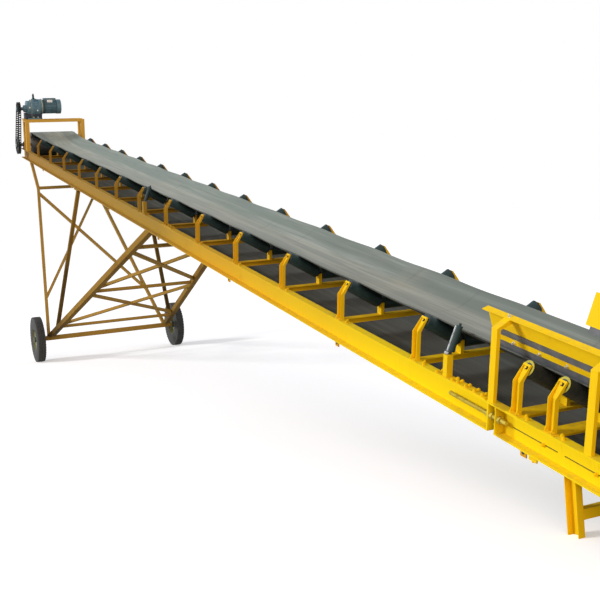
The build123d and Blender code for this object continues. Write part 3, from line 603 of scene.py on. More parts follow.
@dataclass(frozen=True)
class BareSteel(Finish):
    """Bare or plated steel, with a film that dulls it in patches.

    Attributes:
        colour: Colour of the metal.
        film: Colour of oil, rust or zinc bloom on it.
        cover: Share of the film.
        rough: Roughness of the clean metal.
        shine: Metallic value.
    """

    colour: str
    film: str
    cover: float = 0.4
    rough: float = 0.35
    shine: float = 0.9

    def shade(self, wires: Wiring, place: Socket) -> None:
        """Wire the metal, its film and fine scratches."""
        film = wires.between(wires.noise(place, 45, 5, 0.65), 0.7 - 0.4 * self.cover, 0.8)
        wires.dress(
            Base_Color=wires.tinted(linear(self.colour), self.film, film),
            Roughness=wires.scaled(film, self.rough, self.rough + 0.35),
            Metallic=wires.scaled(film, self.shine, self.shine * 0.5),
        )
        wires.bump((wires.noise(place, 2.5, 2), 0.05), (film, 0.08))


@dataclass(frozen=True)
class CastPaint(Finish):
    """Machine enamel over cast iron or aluminium: sand-cast grain under a thin coat.

    Attributes:
        colour: Colour of the coat.
        worn: Colour where the coat is thin or greasy.
        rough: Roughness.
        grain: Depth of the casting's grain in millimetres.
    """

    colour: str
    worn: str
    rough: float = 0.42
    grain: float = 0.5

    def shade(self, wires: Wiring, place: Socket) -> None:
        """Wire the coat, its grease and the sand-cast grain."""
        grease = wires.between(wires.noise(place, 70, 5, 0.6), 0.45, 0.75)
        wires.dress(
            Base_Color=wires.tinted(linear(self.colour), self.worn, wires.times(grease, 0.7)),
            Roughness=wires.scaled(grease, self.rough, self.rough + 0.2),
            Specular_IOR_Level=0.3,
        )
        wires.bump((wires.noise(place, 6, 3), self.grain))


# where the coat is darker and browner, partly faded and partly painted shade, as world x in metres
# and the colour there, before the fresh coat
DECK_FADE_AND_SHADE = ((-9.4, "#9F792E"), (0.0, "#A8862E"), (2.3, "#D9AA22"))
LEG_FADE_AND_SHADE = ((-9.4, "#987430"), (-6.4, "#907030"), (-4.9, "#5A4822"))


@dataclass(frozen=True)
class Finishes:
    """Every finish of the conveyor.

    Attributes:
        deck: The deck that the belt's streaks follow.
    """

    deck: Deck
    deck_paint: Finish = SprayedEnamel(
        "sprayed_enamel_deck_yellow", "yellow_paint", "#F9CE0E", "#E6AE12", rust=0.25
    )
    stringer_paint: Finish = SprayedEnamel(
        "sprayed_enamel_stringer_yellow", "yellow_paint", "#F6D70A", "#EAD49C",
        rust=0.25, ages=DECK_FADE_AND_SHADE, splice_band=(7.44, 0.08, 0.3),
    )
    idler_paint: Finish = SprayedEnamel(
        "sprayed_enamel_idler_yellow", "yellow_paint", "#F3CB0D", "#DCB874", dust="#9A7B33",
        thinness=0.6, dustiness=0.4, ages=DECK_FADE_AND_SHADE,
    )
    # the undercarriage's ochre coat and its darker band near world x -4.9 m are partly a browner
    # paint and partly painted shade
    leg_paint: Finish = SprayedEnamel(
        "sprayed_enamel_ochre_and_painted_shade", "yellow_paint", "#96742F", "#C09A68", dust="#8C7A50",
        thinness=0.8, dustiness=0.4, rust=0.6, gloss=0.7, shine=0.08, ages=LEG_FADE_AND_SHADE, fresh_x=-4.0,
    )
    # the braces' ochre is partly a browner paint and partly painted shade
    brace_paint: Finish = SprayedEnamel(
        "sprayed_enamel_brace_ochre", "yellow_paint", "#B38E42", "#7E6530", dust="#9A8452",
        thinness=0.6, rust=0.5, gloss=0.66, shine=0.1,
    )
    gantry_paint: Finish = SprayedEnamel(
        "sprayed_enamel_gantry_ochre", "yellow_paint", "#DBAC4A", "#B98838", dust="#9A7B33",
        thinness=0.4, dustiness=0.3, rust=0.5, gloss=0.5,
    )
    gap_paint: Finish = SprayedEnamel(
        "sprayed_enamel_thin_orange", "yellow_paint", "#DDA012", "#9A6412",
        thinness=0.7, rust=0.6, gloss=0.5,
    )
    bolt_paint: Finish = SprayedEnamel(
        "sprayed_enamel_bolt_yellow", "yellow_paint", "#F5CC10", "#C98F12", rust=0.3
    )
    rim_paint: Finish = SprayedEnamel(
        "sprayed_enamel_rim_green_grey", "rim_paint", "#84886A", "#5E6150", dust="#77745F",
        rust=0.4, gloss=0.5,
    )
    ring_green: Finish = CastPaint(
        "baked_enamel_seal_green", "roller_paint", "#B4AE3A", "#6F7330", 0.45, 0.1
    )
    navy_casting: Finish = CastPaint(
        "machine_enamel_navy", "drive_paint", "#27323F", "#1A2028", 0.5, 0.5
    )
    roller_paint: Finish = CastPaint(
        "baked_enamel_roller_black", "roller_paint", "#1E3234", "#2C4446", 0.55, 0.06
    )
    drive_paint: Finish = CastPaint(
        "machine_enamel_teal_grey", "drive_paint", "#5F8090", "#46626F"
    )
    dark_casting: Finish = CastPaint(
        "machine_enamel_dark_grey", "drive_paint", "#2C3538", "#1D2325"
    )
    bearing_iron: Finish = CastPaint(
        "cast_iron_bearing", "bearing_iron", "#4A4A33", "#2C2C24", 0.55, 0.9
    )
    hub_iron: Finish = CastPaint("cast_iron_hub", "hub_iron", "#55584C", "#3A3B34", 0.6, 0.9)
    impact_rubber: Finish = DarkRubber(
        "moulded_rubber_impact", "impact_rubber", "#202624", "#4A4F49", 0.4, 0.55
    )
    skirt_rubber: Finish = DarkRubber(
        "cut_rubber_strip", "skirt_rubber", "#4E5155", "#7A7D82", 0.6, 0.55, 4
    )
    tyre_rubber: Finish = DarkRubber(
        "vulcanised_rubber_tyre", "tyre", "#282B2C", "#4E4F4C", 0.6, 0.72, 2.5
    )
    screw_zinc: Finish = BareSteel(
        "yellow_zinc_screw", "zinc_steel", "#C2B03A", "#857C34", 0.5, 0.5, 0.25
    )
    # painted highlight: a bright zinc rod beside the tail guide roller
    guide_highlight_zinc: Finish = BareSteel(
        "zinc_rod_painted_highlight", "zinc_steel", "#A4ABB0", "#6D757B", 0.5, 0.45, 0.4
    )
    zinc: Finish = BareSteel("zinc_plated_steel", "zinc_steel", "#D3D2CB", "#A7A79C", 0.4, 0.3)
    chain_steel: Finish = BareSteel(
        "oiled_chain_steel", "chain_steel", "#20272A", "#101315", 0.9, 0.6, 0.2
    )
    drum_steel: Finish = BareSteel(
        "worn_drum_steel", "drum_steel", "#7A7C7E", "#55565A", 0.5, 0.35
    )
    pale_ring: Finish = BareSteel(
        "pressed_steel_seal_ring", "roller_paint", "#9BA08C", "#6E735F", 0.5, 0.5, 0.3
    )
    blank_plate: Finish = BareSteel(
        "blank_aluminium_plate", "drive_paint", "#EDEDEA", "#C9C9C4", 0.3, 0.4, 0.2
    )

    @property
    def belt(self) -> Finish:
        """Give the belt's rubber, which follows the deck's axes."""
        origin = tuple(self.deck.matrix.translation)
        return BeltRubber("calendered_belt_rubber", "belt_rubber", self.deck.slope, origin)

    def node_finishes(self) -> dict[str, Finish]:
        """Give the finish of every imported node."""
        rows: tuple[tuple[Finish, str], ...] = (
            (self.stringer_paint, "left_main_stringer right_main_stringer"),
            (self.stringer_paint, "tail_stringers splice_plates"),
            (self.deck_paint, "skirt_boards skirt_posts skirt_back_plate tail_legs"),
            (self.deck_paint, "tail_cross_member"),
            (self.idler_paint, "idler_frames skirt_clamp_bars edge_guide_posts"),
            (self.gap_paint, "return_roller_hangers"),
            (self.leg_paint, "left_main_leg right_main_leg deck_posts"),
            (self.brace_paint, "left_front_leg right_front_leg main_leg_braces"),
            (self.brace_paint, "front_leg_braces axle_beam"),
            (self.gantry_paint, "drive_gantry"),
            (self.roller_paint, "wing_rollers centre_rollers return_rollers edge_guide_rollers"),
            (self.impact_rubber, "impact_rollers"),
            (self.skirt_rubber, "skirt_rubbers"),
            (self.rim_paint, "left_wheel_rim right_wheel_rim"),
            (self.hub_iron, "left_wheel_hub right_wheel_hub"),
            (self.drive_paint, "gear_reducer motor motor_fan_cowl"),
            (self.bearing_iron, "head_bearings tail_bearings"),
            (self.chain_steel, "chain_sprockets drive_chain"),
            (self.screw_zinc, "take_up_screws"),
            (self.drum_steel, "head_drum tail_drum"),
            (self.belt, "belt"),
            (self.tyre_rubber, "left_tyre right_tyre"),
        )
        return {name: finish for finish, names in rows for name in names.split()}


# --- making pieces -----------------------------------------------------------------------------


def finished_piece(
    mesh: bpy.types.Mesh, name: str, finish: Finish, body: str = "frame"
) -> bpy.types.Object:
    """Link a finished mesh as a piece at the origin that rides on a body.

    Args:
        mesh: Mesh in world metres.
        name: Name of the piece.
        finish: Its finish.
        body: Body that it rides on.

    Returns:
        The piece.
    """
    piece = bpy.data.objects.new(name, mesh)
    bpy.context.scene.collection.objects.link(piece)
    mesh.materials.clear()
    mesh.materials.append(finish.material())
    for face in mesh.polygons:
        face.use_smooth = True
        face.material_index = 0
    mesh.set_sharp_from_angle(angle=SHARP_ANGLE)
    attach(piece, body)
    LOG.info("%s: %d faces on %s", name, len(mesh.polygons), body)
    return piece


class Shape:
    """A mesh under construction, in world metres."""

    def __init__(self, frame: Matrix) -> None:
        """Start an empty mesh whose points are given in millimetres in a frame."""
        self.bm = bmesh.new()
        self.frame = frame

    def ring(self, points: Iterable[Sequence[float]]) -> list[bmesh.types.BMVert]:
        """Add points of the frame as vertices."""
        return [self.bm.verts.new(self.frame @ (Vector(point) * MM)) for point in points]

    def bridge(self, rings: Sequence[Sequence[bmesh.types.BMVert]]) -> None:
        """Join closed rings of equal length in turn, where each corner is used once."""
        for first, second in zip(rings, rings[1:]):
            for here in range(len(first)):
                after = (here + 1) % len(first)
                corners = (first[here], first[after], second[after], second[here])
                unique = list(dict.fromkeys(corners))
                if len(unique) > 2:
                    self.bm.faces.new(unique)

    def prism(self, outline: Sequence[Sequence[float]], depth: Vector) -> None:
        """Add a closed prism from an outline of the frame, extruded by a vector."""
        low = self.ring(outline)
        high = self.ring([Vector(point) + depth for point in outline])
        self.bridge([low, high])
        self.bm.faces.new(list(reversed(low)))
        self.bm.faces.new(high)

    def turned(self, profile: Sequence[Point], steps: int = 48) -> Shape:
        """Add a closed solid of revolution about the frame's z axis.

        Args:
            profile: Radius and height of each profile point, from the axis to the axis.
            steps: Number of steps round.

        Returns:
            The shape.
        """
        turns = [math.tau * step / steps for step in range(steps)]
        rings = []
        for radius, height in profile:
            if radius:
                circle = [(radius * math.cos(t), radius * math.sin(t), height) for t in turns]
                rings.append(self.ring(circle))
            else:
                rings.append(self.ring([(0, 0, height)]) * steps)
        self.bridge(rings)
        return self

    def bevelled(self, width: float, sharp: float = 0.5) -> Shape:
        """Round the sharp edges.

        Args:
            width: Width of the rounding.
            sharp: Angle in radians from where an edge counts as sharp.

        Returns:
            The shape.
        """
        self.settle()
        edges = [
            edge for edge in self.bm.edges
            if len(edge.link_faces) == 2 and edge.calc_face_angle() > sharp
        ]
        bmesh.ops.bevel(
            self.bm, geom=edges, offset=width * MM, segments=2, profile=0.5, affect="EDGES",
            clamp_overlap=True,
        )
        return self

    def settle(self) -> None:
        """Merge doubles and point the faces outwards."""
        bmesh.ops.remove_doubles(self.bm, verts=self.bm.verts, dist=1e-6)
        bmesh.ops.recalc_face_normals(self.bm, faces=self.bm.faces)

    def piece(self, name: str, finish: Finish, body: str = "frame") -> bpy.types.Object:
        """Finish the mesh as a piece."""
        self.settle()
        mesh = bpy.data.meshes.new(name)
        self.bm.to_mesh(mesh)
        self.bm.free()
        return finished_piece(mesh, name, finish, body)


class Form(Enum):
    """The simple solids that a repeated part is put together from."""

    DISC = "disc"
    BLOCK = "block"


@dataclass(frozen=True)
class Element:
    """One simple solid of a repeated part.

    Attributes:
        label: Name of the solid, used for the tree's inputs.
        form: Disc or block.
        size: Radius, sides and length of a disc, or the three sides of a block.
        centre: Middle of the solid.
    """

    label: str
    form: Form
    size: Triple
    centre: Triple = (0, 0, 0)

    @property
    def metres(self) -> list[float]:
        """Give the size with its lengths in metres."""
        first, second, third = self.size
        middle = second if self.form is Form.DISC else second * MM
        return [first * MM, middle, third * MM]


def disc(
    label: str, radius: float, start: float, end: float, sides: int = 16, x: float = 0
) -> Element:
    """Give a disc or prism along the part's z axis, from start to end."""
    return Element(label, Form.DISC, (radius, sides, end - start), (x, 0, (start + end) / 2))


def block(label: str, size: Triple, centre: Triple = (0, 0, 0)) -> Element:
    """Give a block."""
    return Element(label, Form.BLOCK, size, centre)


def hex_bolt(flats: float, head: float, shank: float = 0) -> tuple[Element, ...]:
    """Give a hexagon bolt head or nut on its washer, with its thread's end.

    Args:
        flats: Width across the flats.
        head: Height of the head.
        shank: Length of thread that stands out of it.

    Returns:
        The bolt's solids.
    """
    seat = 0.12 * flats
    top = seat + head
    rows = [
        disc("washer", 0.6875 * flats, 0, seat, 20),
        disc("head", flats / math.sqrt(3), seat, top, 6),
        disc("crown", 0.46 * flats, top, top + 0.04 * flats, 18),
    ]
    if shank:
        rows.append(disc("thread", 0.31 * flats, top, top + shank, 14))
    return tuple(rows)


class PieceTree:
    """A Geometry Nodes tree that turns points or lines into one plain mesh."""

    def __init__(self, name: str, carrier: str, inputs: dict[str, str]) -> None:
        """Start a tree.

        Args:
            name: Name of the tree.
            carrier: Name of the input for the points or lines.
            inputs: Socket type of each further input.
        """
        self.tree = bpy.data.node_groups.new(name, "GeometryNodeTree")
        sockets = self.tree.interface
        geometry = "NodeSocketGeometry"
        sockets.new_socket("Geometry", in_out="OUTPUT", socket_type=geometry)
        sockets.new_socket(carrier, in_out="INPUT", socket_type=geometry)
        self.keys = {
            label: sockets.new_socket(label, in_out="INPUT", socket_type=kind).identifier
            for label, kind in {**inputs, "Finish": "NodeSocketMaterial"}.items()
        }
        self.given = self.add("NodeGroupInput").outputs

    def add(self, kind: str, settings: dict | None = None, **inputs) -> Node:
        """Add a node to the tree."""
        return add_node(self.tree, kind, settings, **inputs)

    def close(self, shape: Socket) -> None:
        """End the tree in real geometry with its finish."""
        real = self.add("GeometryNodeRealizeInstances", _0=shape)
        dressed = self.add(
            "GeometryNodeSetMaterial", _0=real.outputs[0], Material=self.given["Finish"]
        )
        self.add("NodeGroupOutput", _0=dressed.outputs[0])

    def mesh(
        self, source: bpy.types.Mesh, name: str, finish: Finish, values: dict[str, object]
    ) -> bpy.types.Mesh:
        """Run the tree on points or lines.

        Args:
            source: Mesh of the points or lines.
            name: Name of the new mesh.
            finish: Its finish.
            values: Value of each named input.

        Returns:
            The plain mesh.
        """
        carrier = bpy.data.objects.new(f"{name}_carrier", source)
        bpy.context.scene.collection.objects.link(carrier)
        modifier = carrier.modifiers.new("nodes", "NODES")
        modifier.node_group = self.tree
        for label, value in {**values, "Finish": finish.material()}.items():
            modifier[self.keys[label]] = value
        graph = bpy.context.evaluated_depsgraph_get()
        made = bpy.data.meshes.new_from_object(carrier.evaluated_get(graph))
        made.name = name
        carrier.modifiers.remove(modifier)
        bpy.data.objects.remove(carrier)
        return made


class RepeatTree(PieceTree):
    """A tree that stands a small part on every point, with the part's sizes as inputs."""

    def __init__(self, name: str, elements: Sequence[Element]) -> None:
        """Build the tree for a part's simple solids."""
        labels = [f"{element.label} {what}" for element in elements for what in ("size", "centre")]
        super().__init__(name, "Places", dict.fromkeys(labels, "NodeSocketVector"))
        joined = self.add("GeometryNodeJoinGeometry")
        for element in elements:
            self.tree.links.new(self.solid(element), joined.inputs[0])
        settings = {"data_type": "FLOAT_VECTOR"}
        turn = self.add("GeometryNodeInputNamedAttribute", settings, Name="turn")
        euler = self.add("FunctionNodeEulerToRotation", _0=turn.outputs[0])
        stood = self.add(
            "GeometryNodeInstanceOnPoints", _0=self.given["Places"],
            Instance=joined.outputs[0], Rotation=euler.outputs[0],
        )
        self.close(stood.outputs[0])

    def solid(self, element: Element) -> Socket:
        """Add one of the part's solids and give its placed shape."""
        size = self.given[f"{element.label} size"]
        if element.form is Form.BLOCK:
            made = self.add("GeometryNodeMeshCube", Size=size)
        else:
            radius, sides, depth = self.add("ShaderNodeSeparateXYZ", Vector=size).outputs
            made = self.add(
                "GeometryNodeMeshCylinder", {"fill_type": "NGON"},
                Vertices=sides, Radius=radius, Depth=depth,
            )
        centre = self.given[f"{element.label} centre"]
        moved = self.add("GeometryNodeTransform", _0=made.outputs[0], Translation=centre)
        return moved.outputs[0]


def repeated(
    name: str, finish: Finish, elements: Sequence[Element], places: Sequence[Place],
    body: str = "frame",
) -> bpy.types.Object:
    """Stand a small part at every place, as one piece.

    Args:
        name: Name of the piece.
        finish: Its finish.
        elements: The part's simple solids.
        places: Where the part stands.
        body: Body that the piece rides on.

    Returns:
        The piece.
    """
    points = bpy.data.meshes.new(f"{name}_places")
    points.from_pydata([place.point for place in places], [], [])
    turns = points.attributes.new("turn", "FLOAT_VECTOR", "POINT")
    turns.data.foreach_set("vector", [angle for place in places for angle in place.turn()])
    values: dict[str, object] = {}
    for element in elements:
        values[f"{element.label} size"] = element.metres
        values[f"{element.label} centre"] = [length * MM for length in element.centre]
    mesh = RepeatTree(f"{name}_part", elements).mesh(points, name, finish, values)
    return finished_piece(mesh, name, finish, body)


class WeldTree(PieceTree):
    """A tree that lays a rippled fillet bead along lines."""

    def __init__(self) -> None:
        """Build the tree, with the bead's radius and ripple as inputs."""
        labels = ("Bead radius", "Ripple pitch", "Ripple share")
        super().__init__("weld_bead", "Lines", dict.fromkeys(labels, "NodeSocketFloat"))
        radius, pitch, share = (self.given[label] for label in labels)
        line = self.add("GeometryNodeMeshToCurve", _0=self.given["Lines"])
        even = self.add(
            "GeometryNodeResampleCurve", {"mode": "LENGTH"}, _0=line.outputs[0], Length=pitch
        )
        odd = maths(self.tree, "MODULO", self.add("GeometryNodeInputIndex").outputs[0], 2.0)
        ring = self.add("GeometryNodeCurvePrimitiveCircle", Resolution=6, Radius=radius)
        bead = self.add(
            "GeometryNodeCurveToMesh", Curve=even.outputs[0], Profile_Curve=ring.outputs[0],
            Fill_Caps=True, Scale=maths(self.tree, "MULTIPLY_ADD", odd, share, 1.0),
        )
        self.close(bead.outputs[0])


def welded(
    name: str, finish: Finish, lines: Sequence[Sequence[Vector]], radius: float, pitch: float
) -> bpy.types.Object:
    """Lay weld beads along lines of world points, as one piece.

    Args:
        name: Name of the piece.
        finish: Its finish.
        lines: Both ends of each bead.
        radius: The bead's radius.
        pitch: Distance between ripples.

    Returns:
        The piece.
    """
    source = bpy.data.meshes.new(f"{name}_lines")
    edges = [(2 * index, 2 * index + 1) for index in range(len(lines))]
    source.from_pydata([end for line in lines for end in line], edges, [])
    values = {"Bead radius": radius * MM, "Ripple pitch": pitch * MM, "Ripple share": 0.3}
    return finished_piece(WeldTree().mesh(source, name, finish, values), name, finish)


# --- sub-assemblies ----------------------------------------------------------------------------


@dataclass
class BeltStrand:
    """The belt: a troughed strand that sags between idlers, both wraps and the return strand.

    Each drum is given as its u, n and radius.
    """

    deck: Deck
    trough: Trough
    finishes: Finishes
    head_drum: Triple = (-1500, 100, 250)
    tail_drum: Triple = (17190, 70, 200)
    head_transition: float = 1150
    tail_transition: float = 520
    return_n: float = -170
    return_reach: Point = (1900, 1490)
    return_steps: int = 40
    wrap_steps: int = 20
    half_width: float = 450
    step: float = 75
    idler_pitch: float = 1200
    last_idler_u: float = 14400
    sag: float = 9
    flat_sag_share: float = 0.25
    curl: float = 18
    bend_radius: float = 60
    section_steps: int = 11

    @property
    def half_wall(self) -> float:
        """Give half of the belt's thickness."""
        return self.trough.thickness / 2

    def troughing(self, u: float) -> float:
        """Give the share of the full trough: 0 on the drums and 1 between the transitions."""
        head = (u - self.head_drum[0]) / self.head_transition
        tail = (self.tail_drum[0] - u) / self.tail_transition
        return max(0.0, min(1.0, head, tail))

    def carry_section(self, u: float) -> list[Triple]:
        """Give the carrying strand's middle line across the belt at a place."""
        share = self.troughing(u)
        turn = self.trough.turn * share
        flat = self.trough.half_flat
        drum = self.head_drum if u < self.last_idler_u / 2 else self.tail_drum
        low = drum[1] + drum[2] + self.half_wall
        height = low + (self.trough.height - self.half_wall - low) * share
        swing = math.sin(math.pi * (u % self.idler_pitch) / self.idler_pitch) ** 2
        dip = self.sag * share * swing if 0 < u < self.last_idler_u else 0
        soft = self.bend_radius * turn / 2
        points = []
        for step in range(-self.section_steps, self.section_steps + 1):
            across = step / self.section_steps * self.half_width
            out = abs(across) - flat
            if out <= -soft:
                y, n = abs(across), height
            elif out >= soft:
                y, n = flat + out * math.cos(turn), height + out * math.sin(turn)
            else:
                bend = turn * (out + soft) / (2 * soft)
                y = flat - soft + self.bend_radius * math.sin(bend)
                n = height + self.bend_radius * (1 - math.cos(bend))
            rise = (1 - self.flat_sag_share) * max(0.0, out / self.trough.wing)
            points.append((u, math.copysign(y, across), n - dip * (self.flat_sag_share + rise)))
        return points

    def flat_section(self, u: float, n: float, curl: float = 0) -> list[Triple]:
        """Give a flat strand's middle line, with its edges curled up by a height."""
        steps = range(-self.section_steps, self.section_steps + 1)
        shares = [step / self.section_steps for step in steps]
        return [
            (u, share * self.half_width, n + curl * max(0.0, 2 * abs(share) - 1) ** 2)
            for share in shares
        ]

    def wrap(self, drum: Triple, first: float) -> list[list[Triple]]:
        """Give the sections round a drum, half a turn back from an angle in degrees."""
        u, n, radius = drum
        reach = radius + self.half_wall
        turns = [
            math.radians(first - 180 * step / self.wrap_steps)
            for step in range(1, self.wrap_steps)
        ]
        return [
            self.flat_section(u + reach * math.cos(turn), n + reach * math.sin(turn))
            for turn in turns
        ]

    def under(self, drum: Triple) -> list[Triple]:
        """Give the section at a drum's lowest point."""
        return self.flat_section(drum[0], drum[1] - drum[2] - self.half_wall)

    def sections(self) -> list[list[Triple]]:
        """Give the belt's middle surface once round, from the head's top."""
        start, end = self.head_drum[0], self.tail_drum[0]
        count = round((end - start) / self.step)
        carry = [self.carry_section(start + (end - start) * i / count) for i in range(count + 1)]
        first, last = end - self.return_reach[1], start + self.return_reach[0]
        strand_n = self.return_n + self.half_wall
        back = [
            self.flat_section(first + (last - first) * i / self.return_steps, strand_n, self.curl)
            for i in range(self.return_steps + 1)
        ]
        tail = [*self.wrap(self.tail_drum, 90), self.under(self.tail_drum)]
        return [*carry, *tail, *back, self.under(self.head_drum), *self.wrap(self.head_drum, -90)]

    def build(self) -> None:
        """Build the belt as a closed loop with its real thickness."""
        shape = Shape(self.deck.matrix)
        rows = [[Vector(point) for point in row] for row in self.sections()]
        rings = []
        for index, row in enumerate(rows):
            before, after = rows[index - 1], rows[(index + 1) % len(rows)]
            top, low = [], []
            for place, point in enumerate(row):
                beside = row[min(place + 1, len(row) - 1)] - row[max(place - 1, 0)]
                along = (after[place] - before[place]).normalized()
                out = along.cross(beside.normalized()).normalized() * self.half_wall
                top.append(point + out)
                low.append(point - out)
            rings.append(shape.ring(top + list(reversed(low))))
        shape.bridge([*rings, rings[0]])
        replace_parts(shape.piece("belt_strand", self.finishes.belt), "belt")


@dataclass
class IdlerSets:
    """What the idler sets carry besides their frames and rollers: seals, nuts, bolts and welds.

    A foot bolt is given as its reach along the deck and its distance out from foot_y, and a weld
    as the reach and y of both its ends.
    """

    deck: Deck
    trough: Trough
    finishes: Finishes
    idler_us: tuple[float, ...] = tuple(1200.0 * index for index in range(13))
    impact_us: tuple[float, ...] = (15600.0, 15940.0, 16610.0)
    roller_span: Point = (26, 362)
    bracket_out: float = 373
    foot_y: float = 554
    foot_bolts: tuple[Point, ...] = ((96, 12), (128, 40))
    impact_foot_bolts: tuple[Point, ...] = ((80, 10), (118, 34))
    foot_welds: tuple[tuple[Point, Point], ...] = (
        ((-36, 568), (-36, 612)), ((36, 568), (36, 612)), ((-34, 564.5), (34, 564.5)),
    )
    weld_n: float = 1.5
    ring_count: int = 9
    ring_start: float = 48
    ring_pitch: float = 36.5

    def on_wings(self, us: Iterable[float], distance: float, way: int = 1) -> list[Place]:
        """Give places on the wing rollers' axes, facing out along them or back.

        Args:
            us: Places of the idlers.
            distance: Distance along the axis from the trough's corner.
            way: 1 to face out and -1 to face back.

        Returns:
            One place on each side of each idler.
        """
        cos, sin = way * math.cos(self.trough.turn), way * math.sin(self.trough.turn)
        return [
            self.deck.place(u, *self.trough.wing_point(side, distance), (0, side * cos, sin))
            for u in us for side in BOTH
        ]

    def build(self) -> None:
        """Build the seals, shaft ends, bolts and weld beads."""
        dark, paint = self.finishes.dark_casting, self.finishes.idler_paint
        every = self.idler_us + self.impact_us
        inner, outer = self.roller_span[0] + 1, self.roller_span[1] - 1
        seal = (
            disc("rim", 50, 0, 1.6, 32), disc("labyrinth", 33, 1.6, 4, 24),
            disc("cap", 21, 4, 5.4, 20),
        )
        repeated("roller_end_seals", dark, seal, self.on_wings(self.idler_us, outer))
        cup = (disc("cup", 52, 0, 13, 32),)
        repeated("roller_end_cups", dark, cup, self.on_wings(every, inner, -1))
        self.impact()
        tip = disc("flat", 10.4, 0, 10, 12), disc("tip", 8.6, 10, 12, 12)
        repeated("roller_shaft_ends", paint, tip, self.on_wings(every, self.bracket_out))
        feet = [
            self.deck.place(u + reach, side * (self.foot_y + out), 0)
            for us, bolts in (
                (self.idler_us, self.foot_bolts), (self.impact_us, self.impact_foot_bolts),
            )
            for u in us for side in BOTH for reach, out in bolts
        ]
        repeated("idler_foot_bolts", paint, hex_bolt(22, 13, 7), feet)
        beads = [
            [self.deck.at(u + reach, side * y, self.weld_n) for reach, y in ends]
            for u in every for side in BOTH for ends in self.foot_welds
        ]
        welded("bracket_foot_welds", paint, beads, 3.2, 5)

    def impact(self) -> None:
        """Build the impact rollers' rubber rings and their painted end rings."""
        starts = [self.ring_start + self.ring_pitch * index for index in range(self.ring_count)]
        ringed = [spot for start in starts for spot in self.on_wings(self.impact_us, start)]
        ring = (disc("ring", 56.5, -14, 14, 40),)
        repeated("impact_roller_rings", self.finishes.impact_rubber, ring, ringed)
        ends = self.on_wings(self.impact_us, self.roller_span[1] - 1)
        rim = (disc("rim", 54.5, 0, 3.2, 36),)
        repeated("impact_end_rings", self.finishes.ring_green, rim, ends)
        cap = disc("face", 38, 3.2, 4, 32), disc("cap", 21, 4, 5.6, 20)
        repeated("impact_end_caps", self.finishes.dark_casting, cap, ends)


